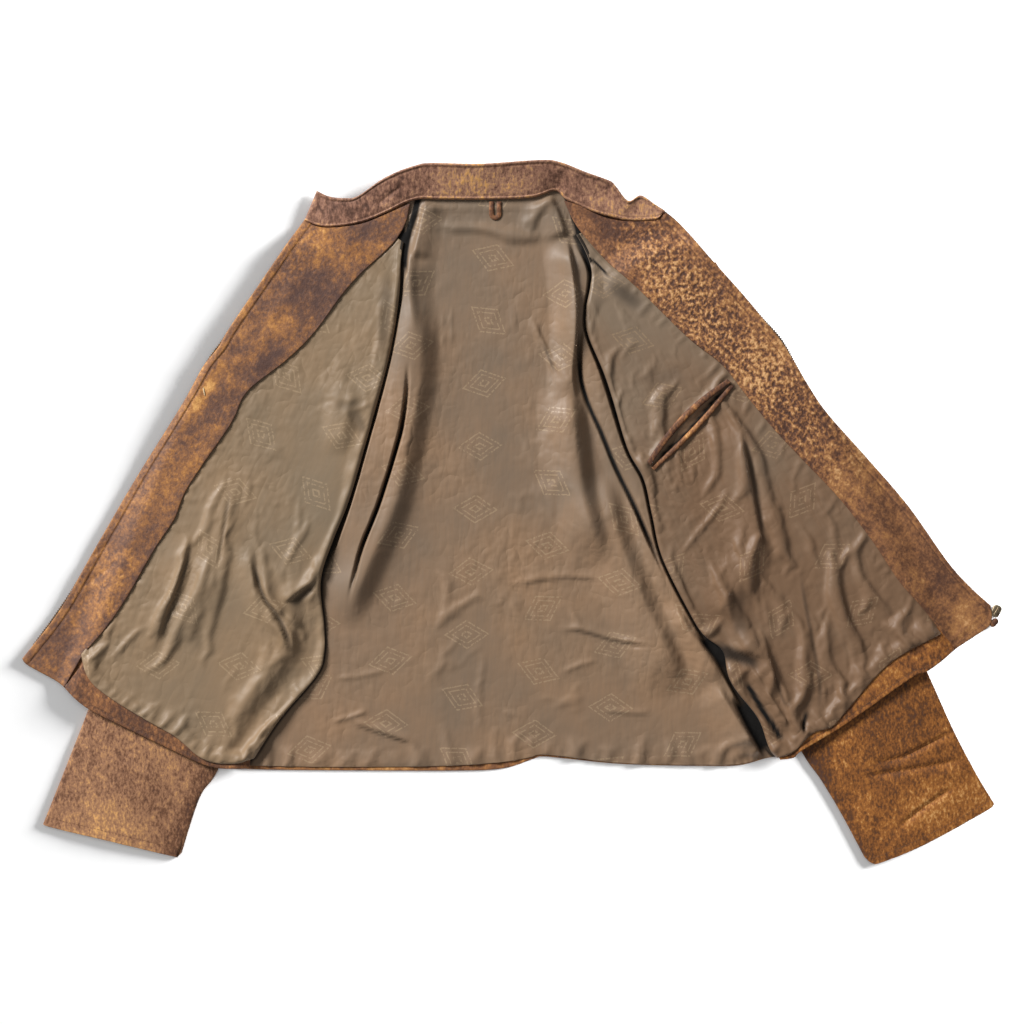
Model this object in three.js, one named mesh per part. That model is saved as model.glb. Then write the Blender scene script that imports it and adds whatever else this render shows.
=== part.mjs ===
// A distressed leather jacket, laid open on its back with the lining up.
// Millimetres, +Z up, collar towards +Y. The origin is on the surface under the middle of the jacket.
import * as THREE from 'three';

// Thicknesses and clearances.
const LEATHER = 1.6;
const LINING = 1.2;
const TAPE = 1;
const GAP = 0.3; // between layers that lie on each other
const SEAM = 0.6; // in plan, between pieces sewn edge to edge

// Heights of the layers above the surface.
const SLEEVE_LOFT = 3.4; // room between the two halves of a flattened sleeve
const SLEEVE_TOP = 2 * LEATHER + GAP + SLEEVE_LOFT;
const FRONT_LIFT = SLEEVE_TOP + 2 * GAP; // a front where it lies on its sleeve
const FRONT_REST = 0.05; // a front where it lies beside its sleeve
const DRAPE_REACH = 44; // from a sleeve to where its front is down on the surface
const DRAPE_MARGIN = 14; // from a sleeve to where its front starts to come down
const SIDE_REACH = 14; // run over which a front comes down to its side seam
const UNDERARM = -5; // the side seam comes down below this, fully after the run
const UNDERARM_RUN = 120;
const SIDE_DROP = 0.6; // share of its height that a front loses there
const BACK_TOP = LEATHER + GAP + LINING; // top of the back lining where it lies flat
const LANDING = BACK_TOP + 0.5; // edge of a front lining where it meets the back lining
const SIDE_SET_BACK = 20; // from the valley out to the side seam under it
const TIP_SET_BACK = 2; // the same at the neck, where the lining ends in a point
const SET_BACK_RUN = 0.2; // share of the valley's length over which it grows to the full distance
const ROLL_SHARES = [1, 0.7, 0]; // height of a front lining from the side seam to that edge
const VALLEY_RUN = 11; // run over which the back lining rises from the valley

// Front edges.
const EDGE_STEP = 2; // how far the zip tape shows beyond the leather
const TAPE_WIDTH = 12;

// Collar.
const COLLAR_RISE = 17; // the stand at the back neck, above its seam
const COLLAR_END_RISE = 3;
const COLLAR_RUNS = [0.4, 0.35]; // shares of its length over which the left and right ends come up

// Hanger loop and zip end.
const LOOP = { width: 13, length: 15, strap: 5, thick: 1.4, x: -18, top: 325 };
const ZIP_END = { width: 11.6, length: 24, thick: 4.4, bevel: 1.2, x: 508.2, y: -110 };

// Plan outlines of the two sides, each from the neck to the hem.
const LEFT = {
  name: 'left',
  hand: 1,
  neck: [[-218, 305], [-202, 298], [-183, 298], [-157, 302], [-132, 312], [-107, 323]],
  frontEdge: [[-218, 305], [-296, 191], [-319, 159], [-345, 112], [-395, 33], [-432, -30], [-470, -93],
    [-514, -154]],
  facingTip: [[-107, 323], [-112, 302], [-121, 286]],
  facingSeam: [[-121, 286], [-130, 276], [-170, 236], [-207, 187], [-235, 159], [-277, 125], [-295, 90],
    [-338, 27], [-353, -8], [-373, -38], [-401, -87], [-425, -122], [-448, -148]],
  facingEnd: [[-448, -148], [-469, -184]],
  facingFoot: [[-514, -154], [-508, -161], [-479, -177], [-469, -184]],
  valley: [[-112, 282], [-118, 225], [-130, 157], [-158, 54], [-173, 3], [-185, -31], [-200, -73],
    [-197, -120], [-197, -148], [-205, -172], [-243, -217], [-270, -258]],
  liningHem: [[-448, -148], [-440, -176], [-419, -196], [-380, -220], [-350, -237], [-321, -260],
    [-290, -264]],
  hem: [[-469, -184], [-445, -205], [-402, -227], [-352, -251], [-326, -263], [-308, -268], [-289, -269]],
  sleeveHead: [[-241, 262], [-190, 256], [-142, 222]],
  sleeveOuter: [[-241, 262], [-295, 157], [-349, 44], [-404, -93], [-445, -205], [-491, -326]],
  sleeveInner: [[-142, 222], [-152, 165], [-181, 54], [-208, -19], [-241, -93], [-271, -177], [-308, -269],
    [-328, -300], [-347, -358]],
  cuff: [[-491, -326], [-487, -330], [-423, -345], [-358, -361], [-352, -362], [-347, -358]],
};
const RIGHT = {
  name: 'right',
  hand: -1,
  neck: [[160, 313], [149, 305], [121, 304], [100, 307], [85, 313], [69, 321], [54, 326]],
  frontEdge: [[160, 313], [178, 298], [205, 266], [260, 205], [284, 177], [308, 133], [329, 102], [370, 57],
    [414, 6], [455, -52], [479, -79], [501, -99]],
  facingTip: [[54, 326], [63, 306], [73, 291]],
  facingSeam: [[73, 291], [100, 261], [134, 230], [184, 181], [219, 153], [246, 119], [274, 85], [305, 52],
    [342, 13], [376, -31], [404, -73], [428, -100], [450, -128]],
  facingEnd: [[450, -128], [464, -144]],
  facingFoot: [[501, -99], [501, -118], [484, -131], [464, -144]],
  valley: [[65, 289], [80, 256], [81, 236], [77, 212], [78, 187], [95, 143], [119, 68], [137, 34],
    [146, -4], [157, -49], [188, -111], [226, -176], [263, -244], [276, -258]],
  liningHem: [[450, -128], [392, -160], [349, -207], [332, -226], [312, -233], [293, -252]],
  hem: [[464, -144], [435, -166], [418, -173], [367, -209], [339, -228], [302, -250], [294, -257]],
  sleeveHead: [[214, 262], [150, 250], [106, 212]],
  sleeveOuter: [[214, 262], [258, 191], [302, 107], [363, -14], [412, -119], [435, -166], [463, -228],
    [487, -274], [505, -304]],
  sleeveInner: [[106, 212], [109, 185], [126, 140], [150, 68], [185, -19], [221, -93], [270, -187],
    [304, -253], [324, -282], [345, -317], [369, -362]],
  cuff: [[505, -304], [504, -309], [487, -319], [431, -349], [386, -368], [376, -368], [369, -362]],
};
const SIDES = [LEFT, RIGHT];

// Plan outlines across the middle, from left to right.
const COLLAR_SEAM = [[-218, 306], [-202, 300], [-183, 300], [-157, 304.5], [-132, 314.5], [-113, 324],
  [-96, 328.5], [-76, 328], [-20, 328], [20, 330], [44, 337], [56, 328], [69, 322], [85, 315], [100, 310.5],
  [121, 306], [149, 306.5], [155, 311]];
const COLLAR_TOP = [[-205, 336], [-192, 330], [-176, 328], [-162, 330], [-138, 346], [-119, 355], [-100, 361],
  [-85, 363], [-34, 362], [28, 366], [49, 364], [76, 354], [100, 346], [107, 341], [121, 325], [134, 331],
  [149, 322], [160, 315]];
const BACK_NECK = [[-105, 321], [-96, 327.5], [-76, 327], [-20, 327], [20, 329], [42, 334], [51, 325]];
const BACK_HEM = [[-289, -269], [-253, -271], [-76, -272], [-13, -270], [18, -261], [29, -257], [54, -259],
  [116, -265], [203, -267], [239, -266], [270, -258], [293, -257]];
const BACK_LINING_HEM = [[-289, -266], [-253, -267], [-186, -268], [-76, -267], [-13, -263], [18, -258],
  [29, -255], [54, -257], [116, -264], [203, -266], [239, -265], [262, -259], [293, -255]];

// The largest folds, each a line along its crest with its height and half its width.
const BACK_FOLDS = [
  { crest: [[-130, 150], [-139, 75], [-150, 30], [-163, -9], [-189, -80]], height: 12, half: 13 },
  { crest: [[-103, 295], [-105, 251], [-95, 187], [-100, 139], [-109, 96]], height: 8, half: 12 },
  { crest: [[90, 117], [104, 67], [124, 28], [141, -11], [150, -35]], height: 11, half: 12 },
  { crest: [[62, 275], [64, 236], [62, 190], [68, 150], [80, 117]], height: 8, half: 11 },
  { crest: [[-240, -227], [-195, -217], [-151, -206]], height: 7, half: 15 },
  { crest: [[58, -124], [100, -128], [143, -139]], height: 6, half: 14 },
  { crest: [[-60, 292], [-20, 286], [25, 291]], height: 4, half: 16 },
];
const FRONT_FOLDS = {
  left: [
    { crest: [[-308, -51], [-321, -89], [-343, -149]], height: 6, half: 15 },
    { crest: [[-270, -77], [-245, -115]], height: 7, half: 16 },
    { crest: [[-233, -140], [-275, -190], [-290, -225]], height: 7, half: 17 },
    { crest: [[-170, 190], [-190, 110], [-215, 40]], height: 3, half: 22 },
  ],
  right: [
    { crest: [[245, 95], [262, 30], [285, -50]], height: 5, half: 17 },
    { crest: [[325, -50], [345, -110], [360, -170]], height: 6, half: 17 },
    { crest: [[205, -60], [245, -130], [285, -200]], height: 6, half: 16 },
    { crest: [[110, 215], [130, 160]], height: 3, half: 16 },
  ],
};

// Cells of the mesh: rows run from the neck to the hem, columns from a front edge to the middle.
const TIP_ROWS = 2;
const ROWS = 22;
const STRIP_ROWS = 2;
const NECK_ROWS = 3;
const LINING_COLUMNS = 8;
const BACK_COLUMNS = 20;
const SHELL_COLUMNS = 6;
const SLEEVE_ROWS = 14;
const SLEEVE_COLUMNS = 6;
const COLLAR_ROWS = 34;
const COLLAR_COLUMNS = 3;
const ALL_ROWS = TIP_ROWS + ROWS + STRIP_ROWS;
const HEM_ROW = TIP_ROWS + ROWS;
const SEAM_COLUMN = 5; // where a facing meets its lining
const SIDE_COLUMN = SEAM_COLUMN + LINING_COLUMNS;
const CURVE_STEPS = 30; // of a line that distances are taken from
const SHORT_STEPS = 10; // of a short one
const ABOVE = 100; // higher than any piece

// The inner pocket's welts on the right front, from their upper end to their lower end.
const WELTS = {
  upper: { from: [224, 137], to: [141, 53], width: 6, bow: 5 },
  lower: { from: [231, 131], to: [146, 43], width: 7, bow: 0 },
};
const WELT_THICK = 1.8;
const WELT_STEPS = 10;

const leather = (colour) => new THREE.MeshStandardMaterial({ color: colour, roughness: 0.6, metalness: 0 });
const MATERIALS = {
  facing: leather(0x8f6340),
  shell: leather(0x7d5334),
  sleeve: leather(0x87603c),
  collar: leather(0x946a42),
  trim: leather(0x6f4a34),
  lining: new THREE.MeshStandardMaterial({ color: 0x7a6753, roughness: 0.45, metalness: 0 }),
  tape: new THREE.MeshStandardMaterial({ color: 0x3b2f27, roughness: 0.85, metalness: 0 }),
  metal: new THREE.MeshStandardMaterial({ color: 0x8d7a5c, roughness: 0.4, metalness: 0.9 }),
};

const jacket = new THREE.Group();

function smooth(value) {
  const t = THREE.MathUtils.clamp(value, 0, 1);
  return t * t * (3 - 2 * t);
}

function curveThrough(points) {
  return new THREE.SplineCurve(points.map(([x, y]) => new THREE.Vector2(x, y)));
}

// A plan curve through a list of points, with t running from 0 to 1 by length.
function spline(points) {
  const curve = curveThrough(points);
  return (t) => curve.getPointAt(t);
}

// The same curve moved sideways, to the left of its direction for a positive distance.
function moved(points, distanceAt) {
  const curve = curveThrough(points);
  return (t) => {
    const tangent = curve.getTangentAt(t);
    return curve.getPointAt(t).add(new THREE.Vector2(-tangent.y, tangent.x).multiplyScalar(distanceAt(t)));
  };
}

function sampled(curve, count) {
  return Array.from({ length: count + 1 }, (_, i) => curve(i / count));
}

// Several curves end to end, as plan points: each gets its own number of rows.
function chained(...stretches) {
  return stretches.flatMap(([curve, rows], i) => sampled(curve, rows).slice(i === 0 ? 0 : 1));
}

// A curve bent so that it starts and ends exactly at two given points.
function bentTo(curve, start, end) {
  const first = start.clone().sub(curve(0));
  const last = end.clone().sub(curve(1));
  return (t) => curve(t).addScaledVector(first, 1 - t).addScaledVector(last, t);
}

// A point of the patch between two lines of points, its first and last rows bent to two curves.
function patchPoint(lineA, lineB, head, foot, u, row) {
  const last = lineA.length - 1;
  const between = (index) => lineA[index].clone().lerp(lineB[index], u);
  const headBend = head(u).sub(between(0));
  const footBend = foot(u).sub(between(last));
  const v = row / last;
  return between(row).addScaledVector(headBend, (1 - v) ** 3).addScaledVector(footBend, v ** 3);
}

function straight(from, to) {
  return (t) => from.clone().lerp(to, t);
}

// Shortest distance in plan from a point to a line of points.
function distanceTo(line, x, y) {
  let best = Infinity;
  for (let i = 1; i < line.length; i++) {
    const dx = line[i].x - line[i - 1].x;
    const dy = line[i].y - line[i - 1].y;
    const along = (x - line[i - 1].x) * dx + (y - line[i - 1].y) * dy;
    const t = THREE.MathUtils.clamp(along / (dx * dx + dy * dy), 0, 1);
    best = Math.min(best, Math.hypot(x - line[i - 1].x - t * dx, y - line[i - 1].y - t * dy));
  }
  return best;
}

function isInside(loop, x, y) {
  let inside = false;
  for (let i = 0, j = loop.length - 1; i < loop.length; j = i++) {
    const crosses = loop[i].y > y !== loop[j].y > y;
    if (crosses && x < loop[j].x + ((loop[i].x - loop[j].x) * (y - loop[j].y)) / (loop[i].y - loop[j].y)) {
      inside = !inside;
    }
  }
  return inside;
}

function prepareFolds(folds) {
  return folds.map((fold) => ({ ...fold, line: sampled(spline(fold.crest), SHORT_STEPS) }));
}

function foldHeight(folds, x, y) {
  return folds.reduce((sum, fold) => {
    const reach = distanceTo(fold.line, x, y) / fold.half;
    return sum + fold.height * Math.exp(-reach * reach);
  }, 0);
}

// A wall over the cells of a lattice that `covers` picks. `under` gives the height of its underside.
function wall(lattice, covers, under, thickness) {
  const ids = new Map();
  const low = [];
  const vertex = (row, column) => {
    const key = `${row},${column}`;
    if (!ids.has(key)) {
      const { x, y } = lattice[row][column];
      ids.set(key, low.length);
      low.push(new THREE.Vector3(x, y, under(x, y, row, column)));
    }
    return ids.get(key);
  };
  const quads = [];
  for (let row = 0; row + 1 < lattice.length; row++) {
    for (let column = 0; column + 1 < lattice[row].length; column++) {
      if (!covers(row, column)) continue;
      const [a, b] = [vertex(row, column), vertex(row, column + 1)];
      const [c, d] = [vertex(row + 1, column + 1), vertex(row + 1, column)];
      quads.push([a, b, c, d]);
    }
  }
  const high = low.map((point) => point.clone().setZ(point.z + thickness));
  return closedSurface(low, high, quads);
}

// Two copies of a surface of quads, one above the other, joined round the edge.
function closedSurface(low, high, quads) {
  const count = low.length;
  const faces = [];
  const addQuad = (a, b, c, d) => faces.push([a, b, c], [a, c, d]);
  const edges = new Set(quads.flatMap((quad) => quad.map((a, i) => `${a},${quad[(i + 1) % 4]}`)));
  for (const quad of quads) {
    const [a, b, c, d] = quad;
    faces.push([count + a, count + b, count + c], [count + a, count + c, count + d], [c, b, a], [d, c, a]);
    quad.forEach((from, i) => {
      const to = quad[(i + 1) % 4];
      if (!edges.has(`${to},${from}`)) addQuad(from, to, count + to, count + from);
    });
  }
  const points = [...low, ...high];
  const volume = faces.reduce((sum, [a, b, c]) => sum + points[a].dot(points[b].clone().cross(points[c])), 0);
  const geometry = new THREE.BufferGeometry();
  geometry.setAttribute('position', new THREE.Float32BufferAttribute(points.flatMap((p) => p.toArray()), 3));
  geometry.setIndex(faces.flatMap((face) => (volume < 0 ? [...face].reverse() : face)));
  geometry.computeVertexNormals();
  return geometry;
}

function add(name, geometry, material) {
  const mesh = new THREE.Mesh(geometry, material);
  mesh.name = name;
  jacket.add(mesh);
  return mesh;
}

// The height of a piece's upper face at a plan point, or 0 beside it.
function topAt(mesh, x, y) {
  const ray = new THREE.Raycaster(new THREE.Vector3(x, y, ABOVE), new THREE.Vector3(0, 0, -1));
  const [hit] = ray.intersectObject(mesh);
  return hit ? hit.point.z : 0;
}

// A side seam, set back from the valley where the front lining meets the back lining.
function setBack(side, share) {
  return moved(side.valley, (t) => {
    const distance = THREE.MathUtils.lerp(TIP_SET_BACK, SIDE_SET_BACK, smooth(t / SET_BACK_RUN));
    return -side.hand * share * distance;
  });
}

// The height of a front above the surface: up over its sleeve, down beside it and at its side seam.
function draper(side) {
  const outer = sampled(spline(side.sleeveOuter), CURVE_STEPS).reverse();
  const inner = sampled(spline(side.sleeveInner), CURVE_STEPS);
  const head = sampled(spline(side.sleeveHead), SHORT_STEPS);
  const sleeve = [...head, ...inner.slice(1), ...outer.slice(0, -1)];
  const loop = [...sleeve, sleeve[0]];
  const seam = sampled(setBack(side, 1), CURVE_STEPS);
  return (x, y) => {
    const reach = distanceTo(loop, x, y) * (isInside(sleeve, x, y) ? 1 : -1);
    const onSleeve = smooth((reach + DRAPE_REACH) / (DRAPE_REACH - DRAPE_MARGIN));
    const belowArm = smooth((UNDERARM - y) / UNDERARM_RUN);
    const atSeam = 1 - smooth(distanceTo(seam, x, y) / SIDE_REACH);
    return FRONT_REST + (FRONT_LIFT - FRONT_REST) * onSleeve * (1 - SIDE_DROP * belowArm * atSeam);
  };
}

// The underside of a front's lining: on the shell, folded, and rolled down at the valley.
function liningUnder(side, drape) {
  const folds = prepareFolds(FRONT_FOLDS[side.name]);
  const seam = sampled(setBack(side, 1), CURVE_STEPS);
  return (x, y, row, column) => {
    const lift = (LANDING - LEATHER - GAP) * (1 - smooth(distanceTo(seam, x, y) / DRAPE_REACH));
    const lying = LEATHER + GAP + drape(x, y) + lift;
    const rolled = ROLL_SHARES[column - SIDE_COLUMN] ?? 1;
    return LANDING + (lying + foldHeight(folds, x, y) - LANDING) * rolled;
  };
}

// Plan points of a front: columns from its front edge over the facing and the lining to the valley.
function frontLattice(side) {
  const edge = sampled(spline(side.frontEdge), ALL_ROWS);
  const seam = chained([spline(side.facingTip), TIP_ROWS], [spline(side.facingSeam), ROWS],
    [spline(side.facingEnd), STRIP_ROWS]);
  const neck = bentTo(spline(side.neck), edge[0], seam[0]);
  const foot = bentTo(spline(side.facingFoot), edge[ALL_ROWS], seam[ALL_ROWS]);
  const seamBeside = seam.slice(TIP_ROWS, HEM_ROW + 1);
  const sideLine = sampled(setBack(side, 1), ROWS);
  const rollLine = sampled(setBack(side, 0.5), ROWS);
  const valley = sampled(spline(side.valley), ROWS);
  const liningHead = straight(seamBeside[0], sideLine[0]);
  const liningFoot = bentTo(spline(side.liningHem), seamBeside[ROWS], sideLine[ROWS]);
  const hem = bentTo(spline(side.hem), seam[ALL_ROWS], spline(side.hem)(1));
  return Array.from({ length: ALL_ROWS + 1 }, (_, row) => {
    const width = edge[row].distanceTo(seam[row]);
    const tape = TAPE_WIDTH / width;
    const facingShares = [0, EDGE_STEP / width, tape, tape + (1 - tape) / 3, tape + ((1 - tape) * 2) / 3, 1];
    const points = facingShares.map((u) => patchPoint(edge, seam, neck, foot, u, row));
    const liningRow = row - TIP_ROWS;
    for (let i = 1; i <= LINING_COLUMNS && liningRow >= 0; i++) {
      const u = i / LINING_COLUMNS;
      const onHem = (row - HEM_ROW) / STRIP_ROWS;
      points.push(onHem <= 0
        ? patchPoint(seamBeside, sideLine, liningHead, liningFoot, u, liningRow)
        : liningFoot(u).lerp(hem(u), onHem));
    }
    if (liningRow >= 0 && liningRow <= ROWS) points.push(rollLine[liningRow], valley[liningRow]);
    return points;
  });
}

function buildFront(side) {
  const lattice = frontLattice(side);
  const drape = draper(side);
  const onTrim = (x, y) => drape(x, y) + LEATHER + LINING + 2 * GAP;
  const onShell = (x, y) => drape(x, y) + LEATHER + GAP;

  const isShell = (row, column) => column >= 1 && column < (row < TIP_ROWS ? SEAM_COLUMN : SIDE_COLUMN);
  add(`front_shell_${side.name}`, wall(lattice, isShell, drape, LEATHER), MATERIALS.shell);

  const isFacing = (row, column) => column >= 1 && column < SEAM_COLUMN;
  add(`front_facing_${side.name}`, wall(lattice, isFacing, onTrim, LEATHER), MATERIALS.facing);

  const isTape = (row, column) => column < 2;
  add(`zip_tape_${side.name}`, wall(lattice, isTape, onShell, TAPE), MATERIALS.tape);

  const isTurnup = (row, column) => row >= HEM_ROW && column >= SEAM_COLUMN && column < SIDE_COLUMN;
  const parted = lattice.map((points) => points.map((point, column) => {
    const next = points[column + 1];
    return column === SEAM_COLUMN && next ? point.clone().lerp(next, SEAM / point.distanceTo(next)) : point;
  }));
  add(`hem_turnup_${side.name}`, wall(parted, isTurnup, onTrim, LEATHER), MATERIALS.trim);

  const isLining = (row, column) => row >= TIP_ROWS && row < HEM_ROW && column >= SEAM_COLUMN;
  const lining = wall(lattice, isLining, liningUnder(side, drape), LINING);
  return add(`front_lining_${side.name}`, lining, MATERIALS.lining);
}

// A sleeve flattened on the surface: two halves, the upper one bulging a little.
function buildSleeve(side) {
  const outer = sampled(moved(side.sleeveOuter, () => side.hand * SEAM), SLEEVE_ROWS);
  const inner = sampled(spline(side.sleeveInner), SLEEVE_ROWS);
  const head = bentTo(spline(side.sleeveHead), outer[0], inner[0]);
  const cuff = bentTo(spline(side.cuff), outer[SLEEVE_ROWS], inner[SLEEVE_ROWS]);
  const lattice = Array.from({ length: SLEEVE_ROWS + 1 }, (_, row) => (
    Array.from({ length: SLEEVE_COLUMNS + 1 }, (__, column) => (
      patchPoint(outer, inner, head, cuff, column / SLEEVE_COLUMNS, row)))));
  const bulge = (x, y, row, column) => {
    const u = column / SLEEVE_COLUMNS;
    return LEATHER + GAP + SLEEVE_LOFT * 4 * u * (1 - u);
  };
  add(`sleeve_under_${side.name}`, wall(lattice, () => true, () => 0, LEATHER), MATERIALS.sleeve);
  add(`sleeve_top_${side.name}`, wall(lattice, () => true, bulge, LEATHER), MATERIALS.sleeve);
}

// Plan points of the back: rows from the neck to a hem, columns from side seam to side seam.
function backLattice(hemPoints, rows, columns) {
  const lines = (share) => SIDES.map((side) => sampled(setBack(side, share), rows));
  const [leftSide, rightSide] = lines(1 - SEAM / SIDE_SET_BACK);
  const [leftRoll, rightRoll] = lines(0.5);
  const [leftValley, rightValley] = lines(0);
  const neck = spline(BACK_NECK);
  const hem = spline(hemPoints);
  const shareOf = (column) => column / (columns + 4);
  return Array.from({ length: NECK_ROWS + rows + 2 }, (_, row) => {
    const v = THREE.MathUtils.clamp(row - NECK_ROWS, 0, rows);
    const middle = sampled(straight(leftValley[v], rightValley[v]), columns);
    const points = [leftSide[v], leftRoll[v], ...middle, rightRoll[v], rightSide[v]];
    const up = Math.max(0, (NECK_ROWS - row) / NECK_ROWS);
    return points.map((point, column) => {
      if (row === NECK_ROWS + rows + 1) return hem(shareOf(column));
      return point.clone().lerp(neck(shareOf(column)), up);
    });
  });
}

function buildBack() {
  const everyCell = () => true;
  const shellLattice = backLattice(BACK_HEM, ROWS, SHELL_COLUMNS);
  add('back_shell', wall(shellLattice, everyCell, () => 0, LEATHER), MATERIALS.shell);

  const folds = prepareFolds(BACK_FOLDS);
  const valleys = SIDES.map((side) => sampled(spline(side.valley), CURVE_STEPS));
  const under = (x, y, row, column) => {
    const isCovered = column <= 2 || column >= BACK_COLUMNS + 2;
    const run = Math.min(...valleys.map((line) => distanceTo(line, x, y)));
    const rise = isCovered ? 0 : smooth(run / VALLEY_RUN);
    return LEATHER + GAP + foldHeight(folds, x, y) * rise;
  };
  const liningLattice = backLattice(BACK_LINING_HEM, ROWS, BACK_COLUMNS);
  return add('back_lining', wall(liningLattice, everyCell, under, LINING), MATERIALS.lining);
}

// The stand collar: two layers of leather that rise from the neck seam, most at the back.
function buildCollar() {
  const seam = sampled(spline(COLLAR_SEAM), COLLAR_ROWS);
  const top = sampled(spline(COLLAR_TOP), COLLAR_ROWS);
  const lattice = seam.map((point, row) => sampled(straight(point, top[row]), COLLAR_COLUMNS));
  const [leftRun, rightRun] = COLLAR_RUNS;
  const rise = (v) => {
    const share = smooth(v / leftRun) * smooth((1 - v) / rightRun);
    return THREE.MathUtils.lerp(COLLAR_END_RISE, COLLAR_RISE, share);
  };
  const outer = (x, y, row, column) => GAP + rise(row / COLLAR_ROWS) * (column / COLLAR_COLUMNS);
  const inner = (x, y, row, column) => outer(x, y, row, column) + LEATHER + GAP;
  add('collar_outer', wall(lattice, () => true, outer, LEATHER), MATERIALS.shell);
  add('collar_inner', wall(lattice, () => true, inner, LEATHER), MATERIALS.collar);
}

// The two lips of the inner pocket, laid on the lining.
function buildWelts(lining) {
  for (const [name, welt] of Object.entries(WELTS)) {
    const [from, to] = [welt.from, welt.to].map(([x, y]) => new THREE.Vector2(x, y));
    const along = to.clone().sub(from).normalize();
    const sideways = new THREE.Vector2(along.y, -along.x);
    const lattice = sampled(straight(from, to), WELT_STEPS).map((point, row) => {
      const bow = welt.bow * Math.sin((Math.PI * row) / WELT_STEPS);
      const bowed = point.clone().addScaledVector(sideways, bow);
      return [-0.5, 0.5].map((share) => bowed.clone().addScaledVector(sideways, share * welt.width));
    });
    const onLining = (x, y) => {
      const reach = along.clone().multiplyScalar(from.distanceTo(to) / WELT_STEPS);
      const topBeside = (step) => topAt(lining, x + reach.x * step, y + reach.y * step);
      return Math.max(...[-1, -0.5, 0, 0.5, 1].map(topBeside)) + GAP;
    };
    add(`pocket_welt_${name}`, wall(lattice, () => true, onLining, WELT_THICK), MATERIALS.trim);
  }
}

// A short strap sewn down by both ends, which hangs from the collar seam.
function buildHangerLoop(lining) {
  const half = LOOP.width / 2;
  const slot = half - LOOP.strap;
  const shape = new THREE.Shape();
  shape.moveTo(-half, 0);
  shape.lineTo(-half, half - LOOP.length);
  shape.absarc(0, half - LOOP.length, half, Math.PI, 2 * Math.PI);
  shape.lineTo(half, 0);
  shape.lineTo(slot, 0);
  shape.lineTo(slot, half - LOOP.length);
  shape.absarc(0, half - LOOP.length, slot, 0, Math.PI, true);
  shape.lineTo(-slot, 0);
  const geometry = new THREE.ExtrudeGeometry(shape, {
    depth: LOOP.thick, bevelEnabled: false, curveSegments: SHORT_STEPS,
  });
  const loop = add('hanger_loop', geometry, MATERIALS.trim);
  const corners = [-half, 0, half].flatMap((x) => [0, -half, -LOOP.length].map((y) => [x, y]));
  const seat = Math.max(...corners.map(([x, y]) => topAt(lining, LOOP.x + x, LOOP.top + y)));
  loop.position.set(LOOP.x, LOOP.top, seat + GAP);
}

// The zip's stop with its slider, at the foot of the right front edge.
function buildZipEnd() {
  const radius = ZIP_END.width / 2;
  const straightHalf = ZIP_END.length / 2 - radius;
  const shape = new THREE.Shape();
  shape.absarc(0, straightHalf, radius - ZIP_END.bevel, 0, Math.PI);
  shape.absarc(0, -straightHalf, radius - ZIP_END.bevel, Math.PI, 2 * Math.PI);
  const geometry = new THREE.ExtrudeGeometry(shape, {
    depth: ZIP_END.thick - 2 * ZIP_END.bevel, curveSegments: 5, bevelSegments: 1,
    bevelSize: ZIP_END.bevel, bevelThickness: ZIP_END.bevel,
  });
  add('zip_end_right', geometry, MATERIALS.metal).position.set(ZIP_END.x, ZIP_END.y, ZIP_END.bevel + GAP);
}

const linings = SIDES.map((side) => {
  buildSleeve(side);
  return buildFront(side);
});
buildWelts(linings[1]);
buildHangerLoop(buildBack());
buildCollar();
buildZipEnd();

export default jacket;
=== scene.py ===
"""Looks of a distressed leather jacket that lies open on its back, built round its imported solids."""

import logging
import math
from dataclasses import dataclass
from enum import Enum
from typing import Optional, Sequence

import bpy
import numpy as np
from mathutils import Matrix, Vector
from mathutils.bvhtree import BVHTree


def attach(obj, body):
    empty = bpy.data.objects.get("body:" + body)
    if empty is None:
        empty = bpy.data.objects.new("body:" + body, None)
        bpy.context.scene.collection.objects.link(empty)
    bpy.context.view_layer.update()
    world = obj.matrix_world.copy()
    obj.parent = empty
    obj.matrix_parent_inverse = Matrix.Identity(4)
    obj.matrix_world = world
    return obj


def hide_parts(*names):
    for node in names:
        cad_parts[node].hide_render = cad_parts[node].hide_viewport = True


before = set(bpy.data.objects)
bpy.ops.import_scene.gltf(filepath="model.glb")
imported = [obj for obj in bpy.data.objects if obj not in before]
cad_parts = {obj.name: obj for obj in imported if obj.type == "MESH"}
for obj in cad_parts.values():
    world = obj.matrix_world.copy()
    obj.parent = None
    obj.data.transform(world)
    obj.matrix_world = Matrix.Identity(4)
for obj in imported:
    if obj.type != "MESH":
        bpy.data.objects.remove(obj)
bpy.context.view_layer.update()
LOG = logging.getLogger("jacket")
JACKET = bpy.data.collections.new("jacket")

Array = np.ndarray
Points = Sequence[tuple[float, float]]
Colour = tuple[float, float, float]
Values = dict[str, Array]
Material = bpy.types.Material
Object = bpy.types.Object
Socket = bpy.types.NodeSocket

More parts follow.
